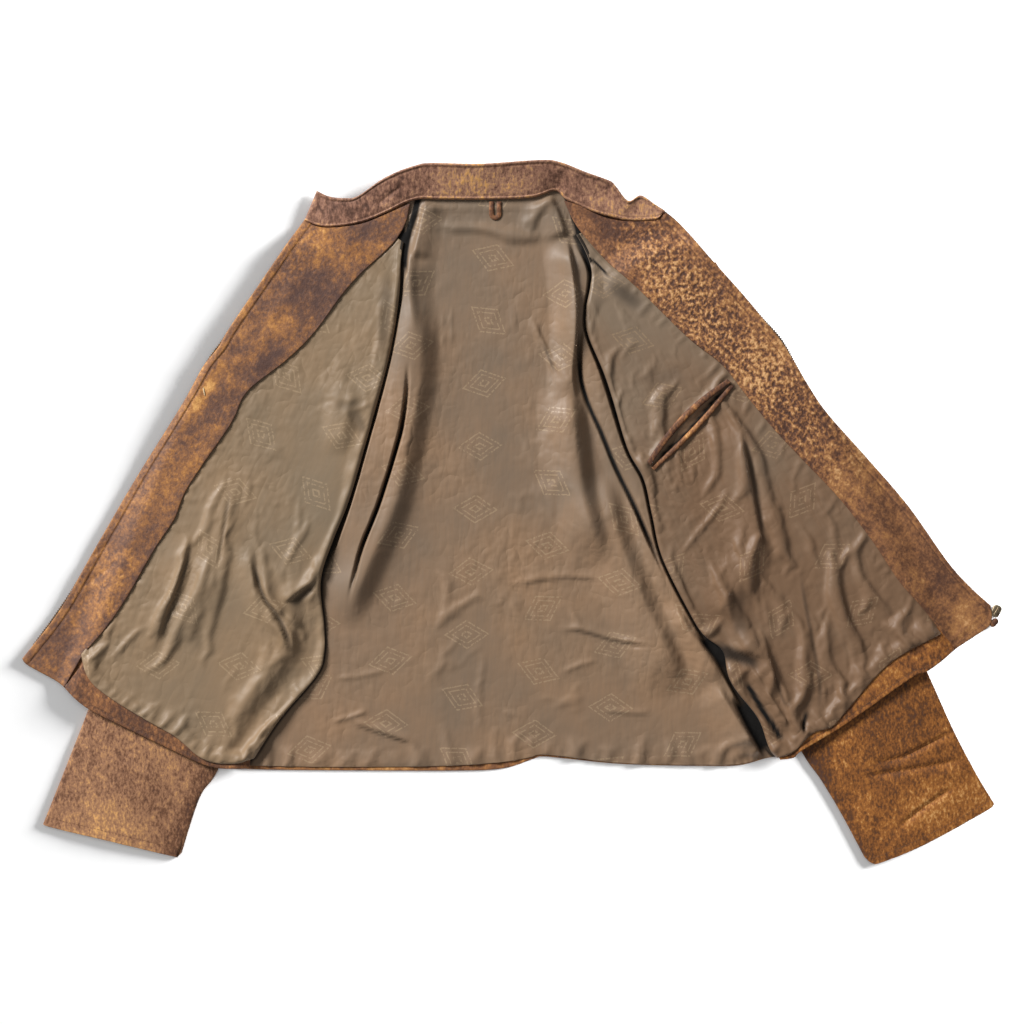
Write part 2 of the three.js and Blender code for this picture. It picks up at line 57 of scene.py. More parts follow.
# Lengths are in millimetres until a mesh is made.
MM = 0.001
LEATHER = 1.6  # thickness of a layer of leather
LINING = 1.2  # height that a lining takes up in the solids
SATIN = 0.7  # thickness of the lining cloth itself
GAP = 0.3  # air between two layers
CLEAR = 0.25  # air under a lining that is pressed down
PASS_OVER = 0.5  # air between a front lining and the back lining that it passes over
SLEEVE_LOFT = 3.4  # rise of a sleeve from its edges to its middle
SLEEVE_TOP = 2 * LEATHER + GAP + SLEEVE_LOFT
FRONT_LIFT = SLEEVE_TOP + 2 * GAP  # height of a front over its sleeve
FRONT_REST = 0.05  # height of a front beside its sleeve
DRAPE_REACH = 44.0  # run over which a front comes down beside its sleeve
DRAPE_MARGIN = 14.0
SIDE_REACH = 14.0  # run over which it comes down towards its side seam
UNDERARM = -5.0  # where along the seam that starts
UNDERARM_RUN = 120.0
SIDE_DROP = 0.6
BACK_TOP = LEATHER + GAP + LINING  # top of the back lining
SIDE_SET_BACK = 20.0  # distance from the valley's edge back to the side seam
TIP_SET_BACK = 2.0  # the same at the neck
SET_BACK_RUN = 0.2
TRIM_TOP = 2 * LEATHER + LINING + 2 * GAP  # top of a facing or turn-up above the drape
LINING_LIE = LEATHER + GAP + LINING  # top of a front lining above the drape
TIP_ROWS, FOOT_ROW, ALL_ROWS = 2, 24, 26  # rows of a front: its tip, where its seam ends, and all of them
RIM = (0.0, 0.25, 0.7, 1.5)  # distances of the first rows of a mesh from a rounded edge
RIM_SHARE = 0.2  # thickness left at the edge itself
CURVE_STEPS = 24  # samples of a curve between two of its points
LINE_STEPS = 40  # samples of a line that distances are taken from
SEAM_STEPS = 90  # samples of a lining's seams
CREASE_STEPS = 16
CREASE_REACH = 3.2  # runs after which a crease has faded
CREASE_TAIL = 0.8  # runs over which its last trace fades
CREST = 0.45  # roundness of a crest
CREST_FALL = 1.5  # how quickly a crease falls away
SHADE_POWER = 1.5  # how quickly a slit's shade fades up its sides
VALLEY_SHADE = 0.9  # shade at the floor of a valley
SHINE = 0.3  # how strongly leather and satin mirror the light
VALLEY_GLIMPSE = (0.5, 0.2, 0.07)  # how much lighter the left one is, round which share of it, over which run


class Hand(Enum):
    """Which front of the jacket, as seen from above."""

    LEFT = "left"
    RIGHT = "right"

    @property
    def sign(self) -> float:
        """Turn that leads from a front towards the middle of the back."""
        return 1.0 if self is Hand.LEFT else -1.0


@dataclass(frozen=True)
class Outline:
    """Plan curves of one side of the jacket, each from the neck to the hem."""

    hand: Hand
    neck: Points
    front_edge: Points
    facing_tip: Points
    facing_seam: Points
    facing_end: Points
    facing_foot: Points
    valley: Points
    lining_hem: Points
    hem: Points
    sleeve_head: Points
    sleeve_outer: Points
    sleeve_inner: Points
    cuff: Points


LEFT = Outline(
    hand=Hand.LEFT,
    neck=((-218, 305), (-202, 298), (-183, 298), (-157, 302), (-132, 312), (-107, 323)),
    front_edge=((-218, 305), (-296, 191), (-319, 159), (-345, 112), (-395, 33), (-432, -30), (-470, -93),
                (-514, -154)),
    facing_tip=((-107, 323), (-112, 302), (-121, 286)),
    facing_seam=((-121, 286), (-130, 276), (-170, 236), (-207, 187), (-235, 159), (-277, 125), (-295, 90),
                 (-338, 27), (-353, -8), (-373, -38), (-401, -87), (-425, -122), (-448, -148)),
    facing_end=((-448, -148), (-469, -184)),
    facing_foot=((-514, -154), (-508, -161), (-479, -177), (-469, -184)),
    valley=((-112, 282), (-118, 225), (-130, 157), (-158, 54), (-173, 3), (-185, -31), (-200, -73), (-197, -120),
            (-197, -148), (-205, -172), (-243, -217), (-270, -258)),
    lining_hem=((-448, -148), (-440, -176), (-419, -196), (-380, -220), (-350, -237), (-321, -260), (-290, -264)),
    hem=((-469, -184), (-445, -205), (-402, -227), (-352, -251), (-326, -263), (-308, -268), (-289, -269)),
    sleeve_head=((-241, 262), (-190, 256), (-142, 222)),
    sleeve_outer=((-241, 262), (-295, 157), (-349, 44), (-404, -93), (-445, -205), (-491, -326)),
    sleeve_inner=((-142, 222), (-152, 165), (-181, 54), (-208, -19), (-241, -93), (-271, -177), (-308, -269),
                  (-328, -300), (-347, -358)),
    cuff=((-491, -326), (-487, -330), (-423, -345), (-358, -361), (-352, -362), (-347, -358)),
)
RIGHT = Outline(
    hand=Hand.RIGHT,
    neck=((160, 313), (149, 305), (121, 304), (100, 307), (85, 313), (69, 321), (54, 326)),
    front_edge=((160, 313), (178, 298), (205, 266), (260, 205), (284, 177), (308, 133), (329, 102), (370, 57),
                (414, 6), (455, -52), (479, -79), (501, -99)),
    facing_tip=((54, 326), (63, 306), (73, 291)),
    facing_seam=((73, 291), (100, 261), (134, 230), (184, 181), (219, 153), (246, 119), (274, 85), (305, 52),
                 (342, 13), (376, -31), (404, -73), (428, -100), (450, -128)),
    facing_end=((450, -128), (464, -144)),
    facing_foot=((501, -99), (501, -118), (484, -131), (464, -144)),
    valley=((65, 289), (80, 256), (81, 236), (77, 212), (78, 187), (95, 143), (119, 68), (137, 34), (146, -4),
            (157, -49), (188, -111), (226, -176), (263, -244), (276, -258)),
    lining_hem=((450, -128), (392, -160), (349, -207), (332, -226), (312, -233), (293, -252)),
    hem=((464, -144), (435, -166), (418, -173), (367, -209), (339, -228), (302, -250), (294, -257)),
    sleeve_head=((214, 262), (150, 250), (106, 212)),
    sleeve_outer=((214, 262), (258, 191), (302, 107), (363, -14), (412, -119), (435, -166), (463, -228),
                  (487, -274), (505, -304)),
    sleeve_inner=((106, 212), (109, 185), (126, 140), (150, 68), (185, -19), (221, -93), (270, -187), (304, -253),
                  (324, -282), (345, -317), (369, -362)),
    cuff=((505, -304), (504, -309), (487, -319), (431, -349), (386, -368), (376, -368), (369, -362)),
)

COLLAR_SEAM = ((-218, 306), (-202, 300), (-183, 300), (-157, 304.5), (-132, 314.5), (-113, 324), (-96, 328.5),
               (-76, 328), (-20, 328), (20, 330), (44, 337), (56, 328), (69, 322), (85, 315), (100, 310.5),
               (121, 306), (149, 306.5), (155, 311))
COLLAR_TOP = ((-205, 336), (-192, 330), (-176, 328), (-162, 330), (-138, 346), (-119, 355), (-100, 361), (-85, 363),
              (-34, 362), (28, 366), (49, 364), (76, 354), (100, 346), (107, 341), (121, 325), (134, 331),
              (149, 322), (160, 315))
BACK_NECK = ((-105, 321), (-96, 327.5), (-76, 327), (-20, 327), (20, 329), (42, 334), (51, 325))
LINING_NECK = ((-115, 314), *BACK_NECK, (61, 314))
BACK_HEM = ((-289, -269), (-253, -271), (-76, -272), (-13, -270), (18, -261), (29, -257), (54, -259), (116, -265),
            (203, -267), (239, -266), (270, -258), (293, -257))
BACK_LINING_HEM = ((-289, -266), (-253, -267), (-186, -268), (-76, -267), (-13, -263), (18, -258), (29, -255),
                   (54, -257), (116, -264), (203, -266), (239, -265), (262, -259), (293, -255))


@dataclass(frozen=True)
class Crease:
    """A fold line: a crest, or a trough if its height is negative, that fades at both ends.

    `left` and `right` are the runs over which it falls away on each side of its direction, `lean` is how far
    its crest leans over to the left, and `tent` is 1 for even slopes and 0 for a sharp crest.
    """

    points: Points
    height: float
    left: float
    right: float
    fade: float = 0.25
    lean: float = 0.0
    tent: float = 0.0

    def shape(self, x: Array, y: Array) -> Array:
        """Moves of a cloth at the fold.

        Args:
            x: Plan positions across.
            y: Plan positions along.

        Returns:
            The moves across, along and up, stacked in that order.
        """
        line = Curve(self.points).at(np.linspace(0, 1, CREASE_STEPS))
        reach = CREASE_REACH * max(self.left, self.right)
        low, high = line.min(axis=0) - reach, line.max(axis=0) + reach
        near = (x > low[0]) & (x < high[0]) & (y > low[1]) & (y < high[1])
        moves = np.zeros((3, *x.shape))
        if near.any():
            distance, side, share = nearest(line, x[near], y[near])
            run = np.where(side > 0, self.left, self.right)
            fade = smooth(share / self.fade) * smooth((1 - share) / self.fade)
            sharp = np.exp(CREST - CREST_FALL * np.hypot(distance / run, CREST / CREST_FALL))
            sharp *= smooth((CREASE_REACH - distance / run) / CREASE_TAIL)
            even = np.clip(1 - distance / run, 0, 1)
            strength = fade * (sharp * (1 - self.tent) + self.tent * smooth(even))
            along = np.diff(line, axis=0)
            along /= np.linalg.norm(along, axis=1, keepdims=True)
            step = along[np.minimum((share * (len(line) - 1)).astype(int), len(along) - 1)]
            moves[:, near] = np.stack([-self.lean * step[:, 1] * strength, self.lean * step[:, 0] * strength,
                                       self.height * strength])
        return moves


@dataclass(frozen=True)
class Rub:
    """A soft patch of leather, rubbed pale for a positive amount and darker for a negative one: a stain, which along
    the cuffs' inner edges is partly painted shadow.
    """

    x: float
    y: float
    along: float
    across: float
    angle: float
    amount: float

    def at(self, x: Array, y: Array) -> Array:
        """Strength of the patch at plan points."""
        c, s = math.cos(math.radians(self.angle)), math.sin(math.radians(self.angle))
        dx, dy = x - self.x, y - self.y
        return self.amount * np.exp(-(((dx * c + dy * s) / self.along) ** 2) - ((dy * c - dx * s) / self.across) ** 2)


@dataclass(frozen=True)
class Slit:
    """A narrow gap between two folds, painted with shade at its floor: its line, half the width of its floor and the
    run of its sides.
    """

    points: Points
    floor: float
    side: float
    fade: float = 0.12
    depth: float = 1.0

    def keep(self, x: Array, y: Array) -> Array:
        """Share of the height that is left at plan points."""
        distance, _, share = nearest(Curve(self.points).at(np.linspace(0, 1, LINE_STEPS)), x, y)
        depth = self.depth * smooth(share / self.fade) * smooth((1 - share) / self.fade)
        return 1 - depth * (1 - smooth((distance - self.floor) / self.side))


BACK_RIDGES = (
    Crease(((-99, 233), (-96, 186), (-98, 139), (-106, 96), (-114, 52), (-124, 7), (-145, -40), (-165, -88),
            (-179, -127)), 13.5, 21, 36, 0.16, 0, 0.6),
    Crease(((-101, 296), (-107, 256), (-106, 222), (-99, 180)), 4, 9, 9, 0.3, 0, 0.5),
    Crease(((56, 289), (62, 248), (66, 217), (65, 180), (62, 143), (66, 115)), 11, 5, 30, 0.15, 0, 1),
    Crease(((61, 146), (62, 101), (66, 65), (71, 23), (81, -19), (96, -59)), 15, 19, 40, 0.25, 0, 1),
    Crease(((92, 44), (107, -19), (123, -61), (140, -103), (159, -145), (177, -195)), 12.5, 20, 48, 0.2, 0, 1),
    Crease(((163, -93), (186, -127), (203, -152), (222, -183)), 5, 7, 40, 0.25, 0, 0.8),
    Crease(((209, -177), (228, -208), (245, -236), (258, -257)), 7, 7, 30, 0.25, 0, 0.8),
    Crease(((-87, 329), (-93, 310), (-98, 289), (-103, 264)), 6, 24, 6, 0.15, 0, 0.7),
    Crease(((35, 334), (46, 314), (55, 287)), 6, 6, 24, 0.15, 0, 0.7),
)
# Each slit parts the lining and paints shade on it, nearly black at full depth and fainter where its depth is less.
BACK_SLITS = (
    Slit(((-96, 340), (-103, 312), (-109, 293), (-113, 268), (-114, 245)), 2.4, 2.4, 0.14),
    Slit(((49, 344), (59, 321), (68, 290), (76, 267), (81, 251), (81, 239)), 1, 2, 0.12),
    Slit(((-109, 159), (-110, 130), (-114, 98), (-120, 71), (-139, 10), (-157, -36), (-165, -66),
          (-173, -99)), 0.9, 2, 0.3),
    Slit(((77, 205), (71, 185), (70, 164), (72, 137), (81, 109), (93, 83), (109, 44), (128, 5), (144, -32),
          (163, -72)), 1.2, 2.2, 0.2),
    Slit(((197, -127), (205, -139), (216, -153), (228, -171)), 3, 3, 0.2),
    Slit(((235, -190), (249, -219), (263, -244), (271, -259)), 5, 4, 0.2),
    Slit(((44, -129), (70, -127), (111, -137), (148, -143)), 0.3, 2.4, 0.3, 0.55),
    Slit(((-174, -220), (-139, -233), (-100, -246)), 0.3, 2.4, 0.3, 0.55),
    Slit(((-192, -223), (-165, -215), (-150, -209)), 0.3, 2.4, 0.3, 0.45),
    Slit(((90, -211), (121, -213), (151, -214)), 0.3, 2.4, 0.3, 0.45),
    Slit(((-14, -81), (17, -76), (56, -71), (107, -74)), 0.3, 2.4, 0.3, 0.4),
    Slit(((29, 182), (38, 162), (48, 140)), 0.4, 2.6, 0.4, 0.6),
)
LEFT_RIDGES = (
    Crease(((-335, -17), (-351, -70), (-367, -112), (-379, -151)), 3.2, 3.2, 16, 0.25, 1.5),
    Crease(((-290, 41), (-301, -12), (-314, -55), (-325, -103), (-339, -148)), 4, 11, 22, 0.25, 1, 0.3),
    Crease(((-277, -30), (-275, -67), (-268, -93), (-254, -112), (-237, -129),
            (-230, -160)), 5.5, 9, 16, 0.2, 2, 0.4),
    Crease(((-283, 75), (-297, 51)), -2.2, 2.4, 2.4),
    Crease(((-296, 69), (-306, 50)), -1.8, 2.2, 2.2),
    Crease(((-304, -200), (-298, -217), (-289, -236)), -1.8, 1.8, 1.8),
    Crease(((-351, -173), (-370, -192), (-377, -211)), -1.6, 2, 3),
    Crease(((-202, -67), (-223, -80), (-242, -95)), 5, 3.2, 10, 0.2, 2),
    Crease(((-162, 132), (-173, 109), (-178, 86), (-175, 58)), 5, 15, 26, 0.3, 0, 0.7),
    Crease(((-179, 109), (-164, 107), (-145, 114)), 2.4, 9, 2.6, 0.25, 0),
)
RIGHT_RIDGES = (
    Crease(((225, 101), (239, 49), (249, 4), (257, -35), (263, -70)), 7.5, 12, 38, 0.2, 2, 0.4),
    Crease(((249, -47), (235, -80), (225, -118)), 6, 22, 36, 0.25, 0, 0.7),
    Crease(((257, -118), (269, -158), (271, -187)), 4.5, 3.6, 12, 0.25, 1.5),
    Crease(((141, 128), (181, 149), (211, 158)), -3.5, 9, 9),
    Crease(((90, 239), (111, 229), (136, 216)), -4, 9, 9, 0.25, 0, 0.5),
    Crease(((234, -143), (251, -169), (272, -202), (289, -229)), 5, 3.2, 9, 0.15, 2),
)
LEFT_SLITS = (
    Slit(((-330, -22), (-340, -51), (-349, -80), (-362, -116), (-370, -143)), 0.4, 3, 0.3, 0.6),
    Slit(((-295, 29), (-301, -9), (-309, -59)), 0.3, 2.8, 0.3, 0.5),
    Slit(((-274, -43), (-267, -72), (-259, -93), (-246, -110), (-236, -135), (-232, -158)), 0.8, 3.6, 0.25, 0.75),
    Slit(((-236, -101), (-221, -89), (-204, -74)), 1.5, 5, 0.3, 0.75),
    Slit(((-130, 260), (-133, 212), (-135, 175), (-137, 146)), 1, 12, 0.3, 0.55),
    Slit(((-192, 114), (-169, 110), (-148, 118)), 0.5, 8, 0.4, 0.4),
    Slit(((-171, 113), (-162, 96), (-153, 75)), 1.5, 8, 0.35, 0.5),
)
RIGHT_SLITS = (
    Slit(((239, 92), (248, 44), (258, -9), (264, -53)), 0.5, 5, 0.3, 0.6),
    Slit(((298, -51), (305, -93), (313, -135), (321, -181), (320, -221)), 0.4, 3.2, 0.25, 0.6),
    Slit(((271, -156), (277, -183), (286, -201), (295, -190)), 0.4, 3, 0.3, 0.6),
    Slit(((242, -177), (251, -190), (266, -215), (284, -242)), 1.5, 3),
    Slit(((311, -204), (306, -220), (305, -234)), 0.9, 2.4, 0.3),
    Slit(((307, -233), (320, -234), (332, -229)), 1, 2.4, 0.3),
    Slit(((78, 270), (90, 258), (104, 243)), 0.6, 1.8, 0.3),
    Slit(((199, -136), (220, -145), (241, -155), (264, -164)), 2.5, 8, 0.25, 0.9),
    Slit(((90, 245), (115, 229), (146, 205)), 1, 14, 0.4, 0.66),
    Slit(((241, -76), (235, -106), (241, -139)), 3, 12, 0.3, 0.55),
    Slit(((134, 130), (159, 140), (186, 151)), 2, 12, 0.3, 0.35),
    Slit(((226, 131), (205, 107), (183, 83), (164, 65), (149, 48)), 1.2, 2.6),
)
BACK_CREASES = (
    Crease(((18, 209), (34, 175), (49, 141)), 1.8, 1.6, 9, 0.3),
    Crease(((-92, 297), (-69, 300), (-28, 297), (-8, 292), (22, 287), (41, 279)), 2.6, 12, 12, 0.25, 0, 0.5),
    Crease(((-69, 306), (-49, 304), (-28, 302)), -1.5, 2, 2),
    Crease(((-97, 282), (-45, 281), (34, 278)), -2, 5, 7),
    Crease(((14, 293), (27, 314), (36, 329)), 1.6, 18, 9, 0.3, 0, 0.7),
    # Lower half.
    Crease(((44, -127), (70, -124), (111, -135), (148, -140)), 2.4, 7, 1.6),
    Crease(((49, -171), (75, -160), (96, -157)), 1.8, 5, 1.8),
    Crease(((90, -208), (121, -211), (151, -212)), 1.8, 6, 1.6),
    Crease(((-174, -218), (-139, -230), (-100, -244)), 2.4, 7, 1.6),
    Crease(((-192, -221), (-165, -213), (-150, -207)), 2, 2, 5),
    Crease(((-192, -177), (-160, -173), (-127, -165)), 1.6, 6, 1.8),
    Crease(((-14, -79), (17, -74), (56, -69), (107, -72)), 1.2, 8, 2),
    Crease(((-82, -113), (-56, -97), (-25, -79)), 0.9, 3, 9),
    Crease(((-56, -165), (-46, -150), (-27, -137)), 0.9, 3, 7),
    Crease(((-27, -135), (-31, -165), (-35, -202), (-30, -244)), 1.6, 5, 8),
    Crease(((-14, -207), (2, -213), (17, -228), (26, -241)), 2, 3, 5),
    Crease(((-17, -221), (-19, -245), (-22, -266)), 1.6, 4, 4),
    Crease(((-1, -235), (1, -263)), 1.6, 3, 4),
    Crease(((18, -235), (22, -253)), 1.5, 4, 3),
    Crease(((163, -235), (167, -261)), 1.8, 3, 3),
    Crease(((180, -227), (182, -261)), 1.6, 3, 4),
    Crease(((97, -221), (98, -259)), 1.2, 8, 6),
    Crease(((-66, -51), (-71, -93), (-79, -135)), 1.5, 14, 14),
    Crease(((29, 96), (37, 33), (41, -30)), 1.3, 20, 20),
)
LEFT_CREASES = (
    # Hanging folds of the lower half, trough and crest in turn.
    Crease(((-328, -34), (-344, -80), (-360, -108), (-371, -139), (-376, -151)), -3.2, 3.2, 3.2),
    Crease(((-339, -34), (-354, -78), (-370, -106), (-382, -135)), 3, 6, 7),
    Crease(((-316, -38), (-330, -82), (-346, -112), (-358, -145)), 3, 7, 6),
    Crease(((-310, -30), (-317, -67), (-328, -121), (-334, -140)), -2.2, 4, 4),
    Crease(((-299, -30), (-305, -72), (-316, -124), (-323, -151)), 2.5, 8, 6),
    Crease(((-403, -95), (-412, -110), (-422, -138)), -2.2, 2.5, 2.5),
    Crease(((-410, -97), (-419, -114), (-429, -140)), 2, 4, 4),
    Crease(((-432, -153), (-435, -176)), -1.6, 2, 2),
    # Curved fold and the hollow under it.
    Crease(((-271, -48), (-267, -89), (-258, -108), (-242, -121), (-232, -137), (-230, -157)), -3, 3, 3),
    Crease(((-261, -48), (-256, -85), (-247, -100), (-234, -112), (-221, -124), (-219, -151)), 4.5, 8, 5),
    Crease(((-243, -99), (-236, -115), (-223, -122), (-211, -120)), -3, 5, 4),
    Crease(((-200, -64), (-211, -74), (-223, -85)), -4, 4, 4),
    Crease(((-276, -176), (-291, -184), (-308, -193)), -1.8, 4, 4),
    Crease(((-237, -157), (-263, -169), (-289, -180)), -1.6, 5, 5),
    Crease(((-303, -203), (-297, -218), (-288, -232)), -1.6, 1.8, 1.8),
    # Flap that turns over at the foot of the valley.
    Crease(((-208, -174), (-233, -203), (-263, -233), (-274, -253)), 3, 3, 9),
    Crease(((-223, -187), (-253, -215), (-278, -242)), -2, 4, 5),
    # Upper half.
    Crease(((-173, 107), (-164, 92), (-156, 74)), -2.5, 4, 4),
    Crease(((-222, 120), (-200, 115), (-180, 117)), -1.4, 4, 4),
    Crease(((-296, 52), (-301, 12), (-307, -23)), -1.2, 3, 3),
    Crease(((-321, 46), (-331, 5)), -1.2, 3, 3),
    Crease(((-255, 85), (-260, 18)), 1, 14, 14),
    Crease(((-233, 16), (-227, -9)), -1, 1.8, 1.8),
    Crease(((-186, 217), (-180, 183)), 1.2, 3, 3),
    Crease(((-138, 224), (-139, 183), (-148, 149)), 2, 5, 7),
)
RIGHT_CREASES = (
    # Above and round the inner pocket.
    Crease(((184, 148), (198, 157), (211, 159)), -1.8, 2, 2),
    Crease(((124, 128), (148, 140), (179, 148)), -2.4, 7, 7),
    Crease(((134, 118), (155, 125), (180, 134)), 2, 6, 5),
    Crease(((185, 137), (203, 122)), -1.4, 1.8, 1.8),
    Crease(((163, 109), (177, 100)), -1.4, 1.8, 1.8),
    Crease(((134, 93), (149, 69)), -1.5, 2, 2),
    Crease(((212, 111), (222, 98), (225, 75), (224, 48)), -1.6, 2, 2),
    Crease(((243, 112), (235, 98), (233, 75), (238, 58)), -1.8, 2.4, 2.4),
    Crease(((206, 61), (198, 46), (190, 30)), -1.6, 1.8, 1.8),
    Crease(((217, 22), (201, 6), (190, -3)), -1.6, 1.8, 1.8),
    Crease(((164, 51), (170, 34)), -1.3, 1.6, 1.6),
    Crease(((229, 134), (249, 114), (267, 98), (285, 67), (298, 39)), -1, 1.2, 1.2),
    # Long folds below it.
    Crease(((232, 86), (235, 59), (242, 33), (248, 7)), 2, 4, 8),
    Crease(((271, -64), (256, -77), (254, -92)), -2.2, 2.5, 2.5),
    Crease(((278, -3), (295, 7), (311, 14)), -1.8, 4, 4),
    Crease(((209, -82), (226, -51), (244, -19)), 1.4, 4, 3),
    Crease(((223, -93), (241, -61), (257, -30)), 1.2, 4, 3),
    Crease(((260, -30), (258, -74), (264, -118), (274, -134)), -2.6, 2.6, 2.6),
    Crease(((198, -124), (220, -153), (248, -158), (268, -156)), -7, 7, 6),
    # Pleats that run into the hem.
    Crease(((300, -96), (312, -114), (318, -154), (328, -176), (330, -218)), -3.2, 2.4, 2.4),
    Crease(((310, -93), (325, -119), (330, -154), (341, -177), (342, -214)), 2.6, 5, 4),
    Crease(((289, -99), (301, -119), (305, -156), (314, -187)), 3, 4, 8),
    Crease(((330, -96), (318, -132)), -2, 2, 2),
    Crease(((344, -122), (352, -154), (350, -184), (348, -204)), -2.4, 2.2, 2.2),
    Crease(((361, -119), (366, -154), (363, -187)), 2, 8, 5),
    Crease(((274, -154), (278, -190), (282, -200)), -2.6, 2.5, 2.5),
    Crease(((256, -172), (268, -202), (286, -202)), -2.6, 4, 4),
    Crease(((238, -172), (250, -198), (276, -228), (284, -246)), -3, 2.5, 2.5),
    Crease(((265, -164), (291, -203), (300, -235)), 4, 7, 6),
    Crease(((308, -216), (328, -228)), -2, 3, 3),
    Crease(((390, -160), (404, -136), (428, -106)), -2, 2.4, 2.4),
    Crease(((382, -151), (396, -127), (417, -99)), 2, 5, 6),
    Crease(((430, -110), (438, -132)), -1.6, 2, 2),
    Crease(((417, -119), (423, -140)), -1.4, 2, 2),
)
CUFF_CREASES = {
    Hand.LEFT: (
        Crease(((-412, -261), (-389, -274), (-365, -285)), 0.7, 5, 4),
        Crease(((-331, -280), (-329, -295)), -1, 1.6, 1.6),
        Crease(((-438, -240), (-428, -266)), -0.5, 3, 3),
    ),
    Hand.RIGHT: (
        Crease(((373, -263), (407, -257), (438, -242), (466, -229)), -2.8, 1.6, 3.2),
        Crease(((362, -278), (419, -269), (478, -259)), -2.8, 1.6, 3.2),
        Crease(((401, -333), (428, -311), (465, -286)), -2.8, 1.5, 3.2),
        Crease(((407, -229), (438, -242), (459, -253)), 0.8, 5, 5),
        Crease(((433, -278), (465, -274), (482, -274)), 0.8, 4, 4),
    ),
}
LEFT_RUBS = (
    Rub(-325, 120, 26, 7, 58, 1.3),
    Rub(-286, 222, 34, 20, 58, 0.4),
    Rub(-202, 285, 20, 16, 40, 0.4),
    Rub(-239, 196, 16, 12, 50, 0.35),
    Rub(-381, 2, 28, 16, 56, 0.3),
    Rub(-425, -82, 40, 22, 56, 0.26),
    Rub(-218, 230, 24, 18, 30, -0.55),
    Rub(-154, 298, 18, 14, 20, -0.8),
    Rub(-257, 155, 32, 9, 45, -1.1),
    Rub(-339, 75, 20, 16, 56, -0.5),
    Rub(-471, -143, 26, 18, 56, -0.3),
)
RIGHT_RUBS = (
    Rub(260, 138, 40, 24, -52, 0.2),
    Rub(186, 233, 40, 22, -45, 0.05),
    Rub(349, 44, 26, 18, -50, 0.3),
    Rub(472, -106, 20, 14, -50, 0.35),
    Rub(209, 157, 26, 14, -45, -0.5),
    Rub(94, 306, 42, 22, -32, -1),
    Rub(412, -30, 40, 22, -52, -0.1),
    Rub(444, -77, 26, 16, -52, -0.1),
)
COLLAR_RUBS = (
    Rub(-176, 314, 34, 14, 0, -0.5),
    Rub(-123, 338, 24, 10, 40, -0.25),
    Rub(-34, 344, 60, 14, 0, 0.35),
    Rub(52, 346, 20, 14, -30, -0.4),
    Rub(102, 322, 26, 12, -30, 0.1),
)
CUFF_RUBS_AND_SHADOWS = {
    Hand.LEFT: (
        Rub(-412, -337, 60, 26, -12, 0.3),
        Rub(-381, -266, 40, 26, -20, -0.1),
        # Painted shadow of the hem along the cuff's inner edge, with darker leather there.
        Rub(-332, -303, 60, 12, 64, -0.6),
    ),
    Hand.RIGHT: (
        Rub(468, -303, 40, 26, 30, 0.5),
        Rub(386, -261, 40, 26, 30, -0.2),
        Rub(412, -340, 30, 14, 30, 0.1),
        # Painted shadow of the hem along the cuff's inner edge, with darker leather there.
        Rub(335, -308, 70, 18, -62, -0.8),
    ),
}
LEFT_FOLDS = (
    Crease(((-308, -51), (-321, -89), (-343, -149)), 3.5, 15, 15),
    Crease(((-270, -77), (-245, -115)), 4, 16, 16),
    Crease(((-233, -140), (-275, -190), (-290, -225)), 4.5, 15, 15),
    Crease(((-170, 190), (-190, 110), (-215, 40)), 2, 22, 22),
)
RIGHT_FOLDS = (
    Crease(((245, 95), (262, 30), (285, -50)), 3, 17, 17),
    Crease(((325, -50), (345, -110), (360, -170)), 3.5, 17, 17),
    Crease(((205, -60), (245, -130), (285, -200)), 3.5, 16, 16),
    Crease(((110, 215), (130, 160)), 2, 16, 16),
    # Slit between the pocket's welts.
    Crease(((222, 127), (186, 92), (150, 54)), -3.2, 2.6, 2.6, 0.1),
)
LEFT_FACING_CREASES = (
    Crease(((-456, -56), (-436, -44), (-421, -30)), -0.8, 1.6, 2.4),
    Crease(((-449, -77), (-429, -64), (-414, -51)), -0.7, 1.6, 2.4),
    Crease(((-491, -137), (-469, -151), (-450, -158)), 0.5, 2, 2),
    Crease(((-323, 130), (-322, 125), (-321, 120)), -0.8, 1.2, 1.2),
    Crease(((-223, 254), (-239, 222), (-257, 196)), 0.6, 8, 8),
    Crease(((-181, 311), (-169, 285), (-181, 262)), 0.5, 6, 6),
)
RIGHT_FACING_CREASES = (
    Crease(((134, 296), (160, 262), (197, 233)), 0.7, 8, 8),
    Crease(((386, -9), (412, -35), (438, -72)), 0.7, 8, 8),
    Crease(((333, 59), (354, 44), (373, 20)), -0.6, 2.4, 2.4),
    Crease(((239, 175), (265, 146), (291, 117)), 0.6, 7, 7),
    Crease(((452, -141), (475, -122), (496, -106)), 0.5, 2, 2),
)
COLLAR_CREASES = (
    Crease(((-144, 319), (-129, 331), (-113, 342)), -1.2, 2, 3),
    Crease(((-171, 322), (-158, 319), (-141, 312)), 0.6, 4, 4),
    Crease(((50, 359), (66, 338), (73, 322)), -0.9, 2, 3),
)
LEFT_PEBBLES = (
    Rub(-223, 275, 50, 40, 55, 0.2),
    Rub(-423, -82, 50, 40, 55, 0.15),
)
RIGHT_PEBBLES = (
    Rub(186, 222, 90, 45, -50, 0.75),
    Rub(291, 112, 90, 40, -52, 0.7),
    Rub(134, 296, 40, 30, -40, 0.3),
)
# Where the zip's teeth show: share of the edge and run. Where a front gapes: the same and a width.
LEFT_REVEALS = ((0.9, 0.09), (0.3, 0.03))
RIGHT_REVEALS = ((0.33, 0.07),)
LEFT_GAPES = ((0.03, 0.05, 3.0), (0.56, 0.06, 2.5))
RIGHT_GAPES = ((0.03, 0.05, 3.0), (0.79, 0.03, 10.0), (0.925, 0.05, 8.0), (0.3, 0.08, 1.5))
TACK_ENDS = ((-323.0, 129.5), (-321.0, 120.5))


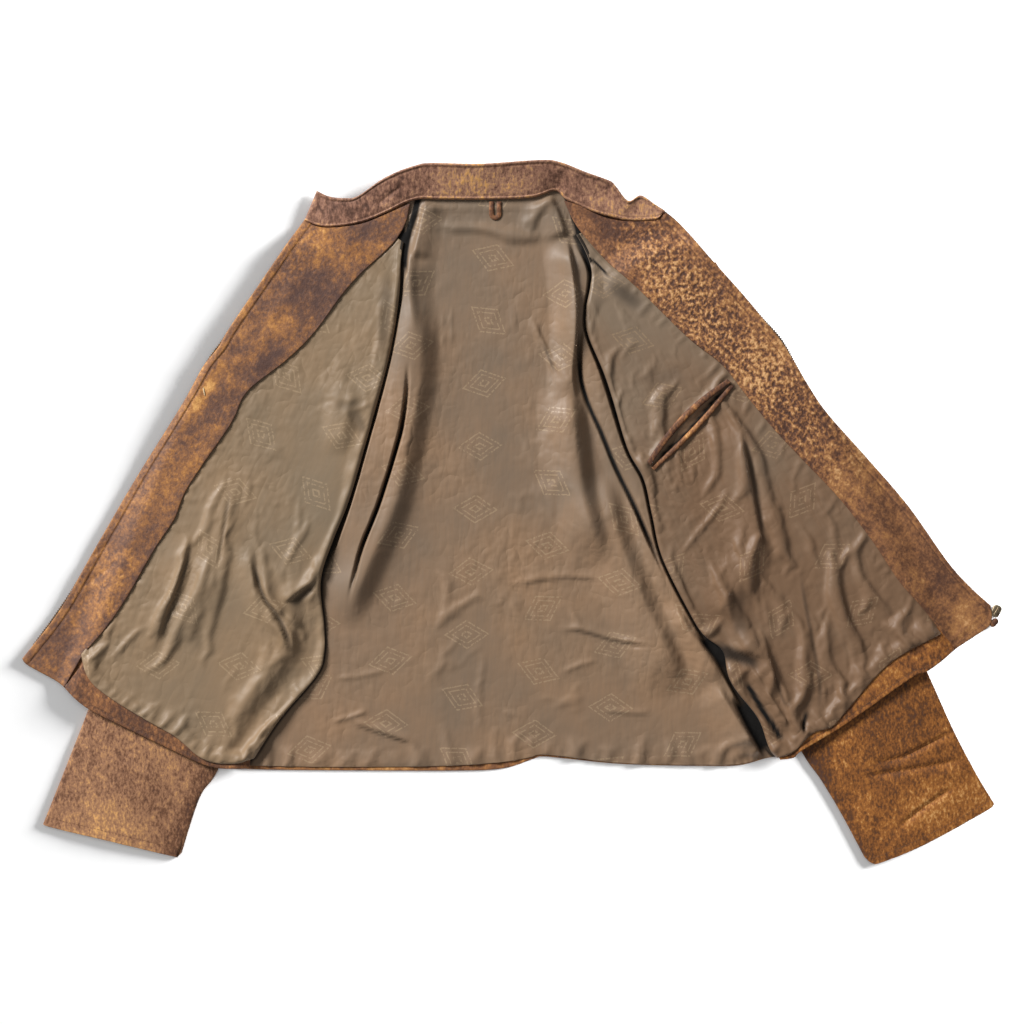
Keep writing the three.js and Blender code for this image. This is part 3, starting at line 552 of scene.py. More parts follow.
def smooth(value: Array) -> Array:
    """Smooth step of a value from 0 to 1."""
    t = np.clip(value, 0, 1)
    return t * t * (3 - 2 * t)


def bell(distance: Array, run: float) -> Array:
    """A soft bump, 1 at no distance and nearly gone at twice the run."""
    return np.exp(-((distance / run) ** 2))


class Curve:
    """A smooth plan curve through points, measured by its length."""

    def __init__(self, points: Points) -> None:
        """Samples the curve closely through its points."""
        given = np.asarray(points, dtype=float)
        last = len(given) - 1
        steps = np.linspace(0, last, last * CURVE_STEPS + 1)
        i = np.minimum(steps.astype(int), last - 1)
        w = (steps - i)[:, None]
        before, here = given[np.maximum(i - 1, 0)], given[i]
        after, beyond = given[i + 1], given[np.minimum(i + 2, last)]
        start, end = (after - before) / 2, (beyond - here) / 2
        cubic = (2 * (here - after) + start + end) * w**3
        self.points = cubic + (3 * (after - here) - 2 * start - end) * w**2 + start * w + here
        self.run = np.concatenate([[0], np.cumsum(np.hypot(*np.diff(self.points, axis=0).T))])
        self.length = float(self.run[-1])

    def at(self, share: Array) -> Array:
        """Points of the curve at shares of its length."""
        run = np.clip(share, 0, 1) * self.length
        return np.stack([np.interp(run, self.run, self.points[:, k]) for k in (0, 1)], axis=-1)

    def normal(self, share: Array) -> Array:
        """Unit normals to the left of the curve at shares of its length."""
        step = 0.5 / CURVE_STEPS
        along = self.at(np.minimum(share + step, 1)) - self.at(np.maximum(share - step, 0))
        along /= np.linalg.norm(along, axis=-1, keepdims=True)
        return np.stack([-along[..., 1], along[..., 0]], axis=-1)

    def turn(self, share: Array) -> Array:
        """Angles of the normals to the x axis at shares of its length."""
        normal = self.normal(share)
        return np.arctan2(normal[..., 1], normal[..., 0])

    def moved(self, share: Array, distance: Array) -> Array:
        """Points of the curve moved to its left by a distance."""
        return self.at(share) + self.normal(share) * np.asarray(distance)[..., None]


def nearest(line: Array, x: Array, y: Array) -> tuple[Array, Array, Array]:
    """Where plan points lie beside a line of points.

    Args:
        line: The line's points, one a row.
        x: Plan positions across.
        y: Plan positions along.

    Returns:
        The distance to the line, the side of it (positive to its left), and the share of its length.
    """
    best = np.full(x.shape, np.inf)
    side, share = np.ones(x.shape), np.zeros(x.shape)
    for i in range(len(line) - 1):
        (ax, ay), (dx, dy) = line[i], line[i + 1] - line[i]
        px, py = x - ax, y - ay
        t = np.clip((px * dx + py * dy) / (dx * dx + dy * dy + 1e-12), 0, 1)
        distance = np.hypot(px - t * dx, py - t * dy)
        closer = distance < best
        best = np.where(closer, distance, best)
        side = np.where(closer, np.sign(dx * py - dy * px), side)
        share = np.where(closer, (i + t) / (len(line) - 1), share)
    return best, side, share


def inside(loop: Array, x: Array, y: Array) -> Array:
    """Whether plan points lie inside a closed loop of points."""
    result = np.zeros(x.shape, dtype=bool)
    for (ax, ay), (bx, by) in zip(loop, np.roll(loop, 1, axis=0)):
        if ay != by:
            result ^= ((ay > y) != (by > y)) & (x < bx + (ax - bx) * (y - by) / (ay - by))
    return result


class Ripple:
    """Smooth seeded unevenness, between about -0.5 and 0.5."""

    CELLS = 48

    def __init__(self, seed: int, size: float) -> None:
        """Draws the values that lie `size` apart."""
        self.values = np.random.RandomState(seed).rand(self.CELLS, self.CELLS) - 0.5
        self.size = size

    def at(self, x: Array, y: Array) -> Array:
        """Unevenness at plan points."""
        i, j = np.floor(x / self.size).astype(int), np.floor(y / self.size).astype(int)
        u, v = smooth(x / self.size - i), smooth(y / self.size - j)
        a, b, c, d = (self.values[(i + p) % self.CELLS, (j + q) % self.CELLS] for p in (0, 1) for q in (0, 1))
        return (a * (1 - v) + b * v) * (1 - u) + (c * (1 - v) + d * v) * u


def spaced(length: float, cell: float, start: Sequence[float] = RIM, end: Sequence[float] = RIM) -> Array:
    """Shares of a length, close together at rounded ends and even between them.

    Args:
        length: The length in millimetres.
        cell: The even spacing.
        start: Distances from the start of the first positions.
        end: Distances from the end of the last ones.

    Returns:
        The shares, from 0 to 1.
    """
    count = max(2, round((length - start[-1] - end[-1]) / cell) + 1)
    between = np.linspace(start[-1], length - end[-1], count)
    return np.array([*start[:-1], *between, *(length - d for d in reversed(end[:-1]))]) / length


def patch(first: Array, second: Array, head: Array, foot: Array, across: Array, along: Array) -> Array:
    """Plan points between two lines, with both ends bent to two other lines.

    Args:
        first: Points of the line where `across` is 0.
        second: Points of the line where it is 1.
        head: Points of the first row.
        foot: Points of the last row.
        across: Shares of the columns, the same in each row or by row and column.
        along: Shares of the rows.

    Returns:
        The points, by row and column.
    """
    u = np.broadcast_to(across, (len(along), across.shape[-1]))[..., None]
    v = along[:, None, None]
    between = first[:, None] * (1 - u) + second[:, None] * u
    return between + (head - between[0]) * (1 - v) ** 3 + (foot - between[-1]) * v**3


def row_shares(widths: Array, start: Sequence[float], end: Sequence[float], count: int) -> Array:
    """Shares of the columns in each row, at fixed distances near the edges and even between them.

    Args:
        widths: Width of each row.
        start: Distances from the first edge.
        end: Distances from the last edge.
        count: Number of even columns between them.

    Returns:
        The shares, by row and column.
    """
    wide = widths[:, None]
    even = np.linspace(0, 1, count + 2)[None, 1:-1]
    between = start[-1] + (wide - start[-1] - end[-1]) * even
    first, last = np.asarray(start)[None] + 0 * wide, wide - np.asarray(end)[None, ::-1]
    return np.concatenate([first, between, last], axis=1) / wide


def bent(line: Array, start: Array, end: Array) -> Array:
    """A line of points, bent so that it starts and ends at two given points."""
    t = np.linspace(0, 1, len(line))[:, None]
    return line + (start - line[0]) * (1 - t) + (end - line[-1]) * t


def rounding(distance: Array, radius: float) -> Array:
    """Share of a sheet's thickness at a distance from its rounded edge."""
    t = np.clip(distance / radius, 0, 1)
    return RIM_SHARE + (1 - RIM_SHARE) * np.sqrt(1 - (1 - t) ** 2)


def folded(creases: Sequence[Crease], x: Array, y: Array) -> Array:
    """Moves across, along and up that a list of folds makes at plan points."""
    return sum((crease.shape(x, y) for crease in creases), np.zeros((3, *x.shape)))


def lifted(creases: Sequence[Crease], x: Array, y: Array) -> Array:
    """Height that a list of folds adds at plan points."""
    return folded(creases, x, y)[2]


def rubbed(rubs: Sequence[Rub], x: Array, y: Array) -> Array:
    """Wear of the leather at plan points, from -1, stained, to 1, rubbed pale; along the cuffs' inner edges the dark
    end is partly painted shadow.
    """
    return np.clip(sum((rub.at(x, y) for rub in rubs), np.zeros_like(x)), -1, 1)


class Drape:
    """Height of a front above the surface: up over its sleeve, down beside it and at its side seam."""

    def __init__(self, side: Outline) -> None:
        """Takes the sleeve's outline and the side seam from a side's curves."""
        share = np.linspace(0, 1, LINE_STEPS)
        outer, inner = (Curve(line).at(share) for line in (side.sleeve_outer, side.sleeve_inner))
        self.sleeve = np.concatenate([Curve(side.sleeve_head).at(share), inner[1:], outer[:0:-1]])
        self.loop = np.concatenate([self.sleeve, self.sleeve[:1]])
        self.seam = side_seam(side, share)

    def at(self, x: Array, y: Array) -> Array:
        """Height of the front's underside at plan points."""
        reach = nearest(self.loop, x, y)[0] * np.where(inside(self.sleeve, x, y), 1, -1)
        on_sleeve = smooth((reach + DRAPE_REACH) / (DRAPE_REACH - DRAPE_MARGIN))
        below_arm = smooth((UNDERARM - y) / UNDERARM_RUN)
        at_seam = 1 - smooth(nearest(self.seam, x, y)[0] / SIDE_REACH)
        return FRONT_REST + (FRONT_LIFT - FRONT_REST) * on_sleeve * (1 - SIDE_DROP * below_arm * at_seam)

    def seam_lift(self, x: Array, y: Array) -> Array:
        """Height by which a lining rises towards the side seam, to pass over the back lining."""
        rise = BACK_TOP + PASS_OVER - LEATHER - GAP
        return rise * (1 - smooth(nearest(self.seam, x, y)[0] / DRAPE_REACH))


def valley_shade(side: Outline, share: Array) -> Array:
    """Shade at the floor of a side's valley, at shares of its length."""
    lighter, middle, run = VALLEY_GLIMPSE
    return VALLEY_SHADE - lighter * (side.hand is Hand.LEFT) * bell(share - middle, run)


def side_seam(side: Outline, share: Array) -> Array:
    """Points of a side seam, which lies back from the valley's edge."""
    distance = TIP_SET_BACK + (SIDE_SET_BACK - TIP_SET_BACK) * smooth(share / SET_BACK_RUN)
    return Curve(side.valley).moved(share, -side.hand.sign * distance)


class SlackCloth:
    """A lining cut larger than the place it is sewn into, relaxed on an even grid until it lies in wrinkles."""

    LEVELS = ((4, 0.3, 200), (2, 0.7, 220), (1, 1.0, 160))  # stride, share of the fullness and rounds of each pass
    WEIGHT = 0.004  # how far the cloth sinks in a round
    CLOUD, CLOUD_HEIGHT = 3.5, 0.9  # size in cells of the first unevenness, and its height
    SPECKS = 0.1  # height of the unevenness from point to point
    # Rows and columns that each kind of tie spans, and how firm it is. The longer ones resist sharp bends.
    TIES = ((0, 1, 1.0), (1, 0, 1.0), (1, 1, 0.6), (1, -1, 0.6), (0, 2, 0.5), (2, 0, 0.5), (0, 3, 0.2), (3, 0, 0.2))

    def __init__(self, loop: Array, cell: float) -> None:
        """Lays the grid over the cloth's outline, a closed loop of plan points."""
        low, high = loop.min(axis=0) - 2 * cell, loop.max(axis=0) + 2 * cell
        count = (4 * np.ceil((high - low) / cell / 4) + 1).astype(int)
        self.low, self.cell = low, cell
        self.x, self.y = np.meshgrid(*(low[k] + cell * np.arange(count[k]) for k in (0, 1)))
        self.free = inside(loop, self.x, self.y)
        self.across, self.along, self.slant = (np.zeros(self.x.shape) for _ in range(3))

    def loosen(self, amount: Array, angle: Array) -> None:
        """Adds fullness, as a share of the cloth, that makes ridges at an angle to the x axis."""
        nx, ny = -np.sin(angle), np.cos(angle)
        self.across += amount * nx * nx
        self.along += amount * ny * ny
        self.slant += 2 * amount * nx * ny

    @staticmethod
    def pull(points: Array, weight: Array, first: tuple, second: tuple, rest: Array, share: float) -> None:
        """Moves the ends of ties between two slices of a grid towards their rest lengths."""
        line = points[second] - points[first]
        length = np.sqrt(np.einsum("ijk,ijk->ij", line, line)) + 1e-6
        a, b = weight[first], weight[second]
        line *= (share * (length - rest) / (length * (a + b + 1e-6)))[..., None]
        points[first] += line * a[..., None]
        points[second] -= line * b[..., None]

    def settle(self, shape: Array, floor: Array, seed: int) -> None:
        """Relaxes the cloth from a first shape, above a floor.

        Args:
            shape: First moves across, along and up, stacked in that order, on the grid.
            floor: Heights that the cloth stays above.
            seed: Seed of the unevenness that starts the wrinkles.
        """
        chance = np.random.RandomState(seed)
        start = np.stack([self.x + shape[0], self.y + shape[1], shape[2]], axis=-1)
        moved = np.zeros_like(start)
        for stride, share, rounds in self.LEVELS:
            part = (slice(None, None, stride), slice(None, None, stride))
            points, rest_points = (start + moved)[part].copy(), start[part]
            weight, ground = self.free[part].astype(float), floor[part]
            uneven = Ripple(seed + stride, self.CLOUD * self.cell * stride).at(self.x[part], self.y[part])
            specks = self.SPECKS * chance.rand(*weight.shape)
            points[..., 2] += weight * (self.CLOUD_HEIGHT * stride * uneven + specks)
            ties = self.ties(rest_points, share, stride)
            for _ in range(rounds):
                points[..., 2] -= self.WEIGHT * stride * weight
                for first, second, rest, firm in ties:
                    self.pull(points, weight, first, second, rest, firm)
                points[..., 2] = np.where(weight > 0, np.maximum(points[..., 2], ground), points[..., 2])
            moved = self.spread(points - rest_points, stride, self.x.shape)
        self.moves = moved + np.moveaxis(shape, 0, -1)

    def ties(self, start: Array, share: float, stride: int) -> list:
        """Slices, rest lengths and firmness of the ties of one pass."""
        part = (slice(None, None, stride), slice(None, None, stride))
        across, along, slant = (share * field[part] for field in (self.across, self.along, self.slant))
        size = self.cell * stride
        made = []
        rows, columns = start.shape[:2]
        for dj, di, firm in self.TIES:
            full = size * np.sqrt(di * di * (1 + 2 * across) + dj * dj * (1 + 2 * along) + 2 * di * dj * slant)
            left, width = max(0, -di), columns - abs(di)
            # Ties to the next row or column are pulled in two turns, so that no point is pulled twice at once.
            turns = 2 if max(dj, abs(di)) == 1 else 1
            for turn in range(turns):
                if dj:
                    first = (slice(turn, rows - dj, turns), slice(left, left + width))
                    second = (slice(turn + dj, rows, turns), slice(left + di, left + di + width))
                else:
                    first = (slice(None), slice(turn, columns - di, turns))
                    second = (slice(None), slice(turn + di, columns, turns))
                length = np.linalg.norm(start[second] - start[first], axis=-1)
                made.append((first, second, np.maximum(length, full[first]), firm * turns / 2))
        return made

    @staticmethod
    def spread(moves: Array, stride: int, shape: tuple[int, int]) -> Array:
        """Moves of a coarse grid, spread evenly over the fine one."""
        for axis in (0, 1):
            fine = np.arange(shape[axis]) / stride
            i = np.minimum(fine.astype(int), max(moves.shape[axis] - 2, 0))
            w = (fine - i).reshape([-1 if k == axis else 1 for k in range(3)])
            moves = np.take(moves, i, axis) * (1 - w) + np.take(moves, i + 1, axis) * w
        return moves

    def at(self, x: Array, y: Array) -> Array:
        """Moves across, along and up at plan points, stacked in that order."""
        rows, columns = self.x.shape
        u = np.clip((x - self.low[0]) / self.cell, 0, columns - 1.001)
        v = np.clip((y - self.low[1]) / self.cell, 0, rows - 1.001)
        i, j = u.astype(int), v.astype(int)
        u, v = (u - i)[..., None], (v - j)[..., None]
        m = self.moves
        above, below = (m[j + k, i] * (1 - u) + m[j + k, i + 1] * u for k in (0, 1))
        return np.moveaxis(above * (1 - v) + below * v, -1, 0)


def outward(points: Array, faces: Sequence[Sequence[int]]) -> list:
    """Faces of one closed body, all turned to look outwards."""
    corners = np.array([(face[0], face[k], face[k + 1]) for face in faces for k in range(1, len(face) - 1)])
    a, b, c = (np.asarray(points, dtype=float)[corners[:, k]] - points[0] for k in range(3))
    if np.sum(a * np.cross(b, c)) < 0:
        return [tuple(face)[::-1] for face in faces]
    return [tuple(face) for face in faces]


def make_object(name: str, points: Array, faces: Sequence[Sequence[int]], material: Material,
                values: Optional[Values] = None) -> Object:
    """Makes a smooth mesh piece from points in millimetres.

    Args:
        name: The piece's name.
        points: Its vertices, one a row.
        faces: Its faces, by vertex.
        material: Its finish.
        values: Named numbers for its material, one a vertex.

    Returns:
        The new object, which rides on the jacket's one body.
    """
    mesh = bpy.data.meshes.new(name)
    mesh.from_pydata((np.asarray(points, dtype=float) * MM).tolist(), [], faces)
    for key, numbers in (values or {}).items():
        attribute = mesh.attributes.new(key, "FLOAT", "POINT")
        attribute.data.foreach_set("value", np.asarray(numbers, dtype=np.float32).ravel())
    mesh.materials.append(material)
    mesh.shade_smooth()
    mesh.update()
    piece = bpy.data.objects.new(name, mesh)
    JACKET.objects.link(piece)
    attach(piece, "root")
    LOG.info("%s: %d faces", name, len(faces))
    return piece


def grid_faces(rows: int, columns: int) -> Array:
    """Quads of a grid of vertices, by row and column."""
    index = np.arange(rows * columns).reshape(rows, columns)
    return np.stack([index[:-1, :-1], index[:-1, 1:], index[1:, 1:], index[1:, :-1]], axis=-1).reshape(-1, 4)


def make_sheet(name: str, plan: Array, top: Array, bottom: Array, material: Material,
               values: Optional[Values] = None) -> Object:
    """Makes a closed thin sheet from its plan points and the heights of its two faces.

    Args:
        name: The piece's name.
        plan: Plan points, by row and column.
        top: Heights of the upper face.
        bottom: Heights of the under face.
        material: Its finish.
        values: Named numbers for its material, by row and column.

    Returns:
        The new object.
    """
    high = np.concatenate([plan, top[..., None]], axis=-1)
    low = np.concatenate([plan, bottom[..., None]], axis=-1)
    return make_shell(name, high, low, material, values)


def make_shell(name: str, high: Array, low: Array, material: Material, values: Optional[Values] = None) -> Object:
    """Makes a closed thin sheet from the points of its upper and its under face, by row and column."""
    rows, columns = high.shape[:2]
    count = rows * columns
    upper = grid_faces(rows, columns)
    index = np.arange(count).reshape(rows, columns)
    ring = np.concatenate([index[0, :-1], index[:-1, -1], index[-1, :0:-1], index[:0:-1, 0]])
    following = np.roll(ring, -1)
    rim = np.stack([following, ring, ring + count, following + count], axis=-1)
    faces = np.concatenate([upper, upper[:, ::-1] + count, rim])
    flat = high.reshape(-1, 3)
    a, b, d = (flat[upper[:, k], :2] for k in (0, 1, 3))
    if np.sum((b - a)[:, 0] * (d - a)[:, 1] - (b - a)[:, 1] * (d - a)[:, 0]) < 0:
        faces = faces[:, ::-1]
    doubled = {key: np.tile(np.ravel(numbers), 2) for key, numbers in (values or {}).items()}
    return make_object(name, np.concatenate([flat, low.reshape(-1, 3)]), faces.tolist(), material, doubled)


def make_cloth(name: str, plan: Array, top: Array, thick: float, floor: Array, material: Material,
               values: Optional[Values] = None) -> Object:
    """Makes a closed sheet of even thickness under a surface that may fold over itself.

    Args:
        name: The piece's name.
        plan: Plan points, by row and column.
        top: Heights of the upper face.
        thick: Thickness of the cloth.
        floor: Heights that its under face stays above.
        material: Its finish.
        values: Named numbers for its material, by row and column.

    Returns:
        The new object.
    """
    high = np.concatenate([plan, top[..., None]], axis=-1)
    normal = np.cross(np.gradient(high, axis=1), np.gradient(high, axis=0))
    normal /= np.linalg.norm(normal, axis=-1, keepdims=True) + 1e-9
    normal *= np.sign(np.median(normal[..., 2]))
    low = high - thick * normal
    low[..., 2] = np.maximum(low[..., 2], np.minimum(floor, top - 0.05))
    return make_shell(name, high, low, material, values)


def edge_distance(plan: Array, sides: str = "nsew") -> Array:
    """Distance of each point of a grid from its edges, along rows and columns.

    Args:
        plan: Plan points, by row and column.
        sides: The edges that count: n the first row, s the last, w the first column, e the last.

    Returns:
        The least distance of each point.
    """
    across = np.linalg.norm(np.diff(plan, axis=1), axis=-1)
    along = np.linalg.norm(np.diff(plan, axis=0), axis=-1)
    west = np.concatenate([np.zeros((len(plan), 1)), np.cumsum(across, axis=1)], axis=1)
    north = np.concatenate([np.zeros((1, plan.shape[1])), np.cumsum(along, axis=0)])
    every = {"w": west, "e": west[:, -1:] - west, "n": north, "s": north[-1:] - north}
    return np.min([every[side] for side in sides], axis=0)


class Surface:
    """The upper side of a finished piece, for setting other pieces on it."""

    def __init__(self, piece: Object) -> None:
        """Takes the piece's mesh."""
        mesh = piece.data
        self.tree = BVHTree.FromPolygons([v.co for v in mesh.vertices], [tuple(p.vertices) for p in mesh.polygons])

    def height(self, plan: Array) -> Array:
        """Heights in millimetres at plan points, one a row, or 0 beside the piece."""
        down = Vector((0, 0, -1))
        hits = (self.tree.ray_cast(Vector((x * MM, y * MM, 1.0)), down)[0] for x, y in plan)
        return np.array([hit.z / MM if hit else 0.0 for hit in hits])

    def lay(self, plan: Array) -> Array:
        """Points on the piece at plan points, one a row."""
        return np.column_stack([plan, self.height(plan)])


def leather_values(worn: Array, pebble: object = 0.0, groove: object = 0.0) -> Values:
    """Numbers that a leather's material reads at each point: its wear, its pebbles and its grooves, which it paints
    darker, partly as shade and partly as darker seams.
    """
    return {"rub": worn, "pebble": pebble + 0 * worn, "groove": groove + 0 * worn}


def srgb(red: int, green: int, blue: int) -> Colour:
    """Linear colour of an sRGB value given by its three bytes."""
    shares = (red / 255, green / 255, blue / 255)
    return tuple(c / 12.92 if c <= 0.04045 else ((c + 0.055) / 1.055) ** 2.4 for c in shares)


class Graph:
    """Adds shader nodes to one node tree and joins them."""

    def __init__(self, tree: bpy.types.NodeTree) -> None:
        """Takes the tree that the nodes go into."""
        self.tree = tree

    def node(self, kind: str, **settings: object) -> bpy.types.Node:
        """Adds a node of a kind and gives it its settings."""
        made = self.tree.nodes.new(f"ShaderNode{kind}")
        for key, value in settings.items():
            setattr(made, key, value)
        return made

    def put(self, socket: Socket, value: object) -> None:
        """Joins an output to an input, or sets the input's own value."""
        if isinstance(value, Socket):
            self.tree.links.new(value, socket)
        elif isinstance(value, tuple) and len(value) == 3 and socket.type == "RGBA":
            socket.default_value = (*value, 1.0)
        else:
            socket.default_value = value

    def math(self, operation: str, *values: object) -> Socket:
        """Adds a sum and gives its result."""
        made = self.node("Math", operation=operation)
        for socket, value in zip(made.inputs, values):
            self.put(socket, value)
        return made.outputs[0]

    def noise(self, vector: object, scale: object, detail: float = 2.0, roughness: float = 0.5) -> Socket:
        """Adds a cloud noise and gives its value."""
        made = self.node("TexNoise")
        self.put(made.inputs["Vector"], vector)
        self.put(made.inputs["Scale"], scale)
        made.inputs["Detail"].default_value = detail
        made.inputs["Roughness"].default_value = roughness
        return made.outputs["Fac"]

    def centred(self, value: object, amount: object) -> Socket:
        """A value about its middle of a half, times an amount."""
        return self.math("MULTIPLY", self.math("SUBTRACT", value, 0.5), amount)

    def mix(self, factor: object, a: object, b: object) -> Socket:
        """Adds a mix of two colours and gives its result."""
        made = self.node("Mix", data_type="RGBA")
        for index, value in ((0, factor), (6, a), (7, b)):
            self.put(made.inputs[index], value)
        return made.outputs[2]

    def ramp(self, factor: object, stops: Sequence[tuple[float, Colour]]) -> Socket:
        """Adds a colour ramp and gives its colour."""
        made = self.node("ValToRGB")
        elements = made.color_ramp.elements
        while len(elements) < len(stops):
            elements.new(0.5)
        for element, (place, colour) in zip(elements, stops):
            element.position = place
            element.color = (*colour, 1.0)
        self.put(made.inputs[0], factor)
        return made.outputs["Color"]

    def value_of(self, name: str) -> Socket:
        """A named number of the mesh."""
        return self.node("Attribute", attribute_name=name).outputs["Fac"]

    def turned(self, angle: float, stretch: Colour = (1.0, 1.0, 1.0)) -> Socket:
        """Positions on the piece, turned in plan by an angle in degrees and stretched."""
        made = self.node("Mapping")
        made.inputs["Rotation"].default_value = (0, 0, math.radians(angle))
        made.inputs["Scale"].default_value = stretch
        self.put(made.inputs["Vector"], self.node("TexCoord").outputs["Object"])
        return made.outputs[0]

    def bump(self, height: object, strength: float, distance: float) -> Socket:
        """Adds a bump and gives its normal."""
        made = self.node("Bump")
        made.inputs["Strength"].default_value = strength
        made.inputs["Distance"].default_value = distance
        self.put(made.inputs["Height"], height)
        return made.outputs[0]


def new_group(name: str, inputs: Sequence[tuple[str, str]], outputs: Sequence[str]) -> tuple[Graph, dict, dict]:
    """Starts a shader node group.

    Args:
        name: The group's name.
        inputs: Name and kind (Vector or Float) of each input.
        outputs: Names of its values.

    Returns:
        The graph to build in, the inputs' sockets and the outputs' sockets, by name.
    """
    tree = bpy.data.node_groups.new(name, "ShaderNodeTree")
    for label, kind in inputs:
        tree.interface.new_socket(name=label, in_out="INPUT", socket_type=f"NodeSocket{kind}")
    for label in outputs:
        tree.interface.new_socket(name=label, in_out="OUTPUT", socket_type="NodeSocketFloat")
    source, sink = tree.nodes.new("NodeGroupInput"), tree.nodes.new("NodeGroupOutput")
    return Graph(tree), dict(source.outputs.items()), dict(sink.inputs.items())


def leather_group() -> bpy.types.NodeTree:
    """Builds the group for worn leather: how tan or dark it is, with painted shade in its grooves, and the height of
    its grain.
    """
    graph, given, out = new_group(
        "worn_leather",
        (("Vector", "Vector"), ("Patch Scale", "Float"), ("Patch", "Float"), ("Grain Scale", "Float"),
         ("Grain", "Float"), ("Pebble", "Float"), ("Rub", "Float"), ("Groove Shade", "Float")),
        ("Tone", "Height", "Roughness Shift"),
    )
    place = given["Vector"]
    patches = graph.noise(place, given["Patch Scale"], 3.0, 0.55)
    blotches = graph.noise(place, graph.math("MULTIPLY", given["Patch Scale"], 7.5), 3.0, 0.6)
    grain = graph.noise(place, given["Grain Scale"], 2.5, 0.6)
    fine = graph.noise(place, graph.math("MULTIPLY", given["Grain Scale"], 3.1), 2.0, 0.6)
    pebbles = graph.noise(place, graph.math("MULTIPLY", given["Grain Scale"], 0.68), 2.0, 0.5)
    grain_share = graph.math("MULTIPLY_ADD", given["Pebble"], 0.4, given["Grain"])
    pebble_share = graph.math("MULTIPLY", given["Pebble"], 4.2)
    tone = graph.math("ADD", graph.centred(patches, given["Patch"]), 0.5)
    tone = graph.math("ADD", tone, graph.centred(blotches, graph.math("MULTIPLY", given["Patch"], 1.1)))
    tone = graph.math("ADD", tone, graph.centred(grain, grain_share))
    tone = graph.math("ADD", tone, graph.centred(fine, graph.math("MULTIPLY", given["Grain"], 0.4)))
    tone = graph.math("ADD", tone, graph.centred(pebbles, pebble_share))
    # Rubs pale and stains dark; along the cuffs' inner edges the dark rubs are partly painted shadow.
    tone = graph.math("MULTIPLY_ADD", given["Rub"], 0.42, tone)
    # Painted shade in the sewn grooves, partly the darker leather of the seams.
    tone = graph.math("MULTIPLY_ADD", given["Groove Shade"], -0.14, tone)
    graph.put(out["Tone"], tone)
    relief = graph.math("MULTIPLY_ADD", pebbles, graph.math("MULTIPLY_ADD", given["Pebble"], 5.0, 0.3), grain)
    relief = graph.math("MULTIPLY_ADD", fine, 0.35, relief)
    graph.put(out["Height"], relief)
    shift = graph.math("MULTIPLY_ADD", graph.math("SUBTRACT", tone, 0.5), -0.18, graph.centred(fine, 0.2))
    graph.put(out["Roughness Shift"], shift)
    return graph.tree


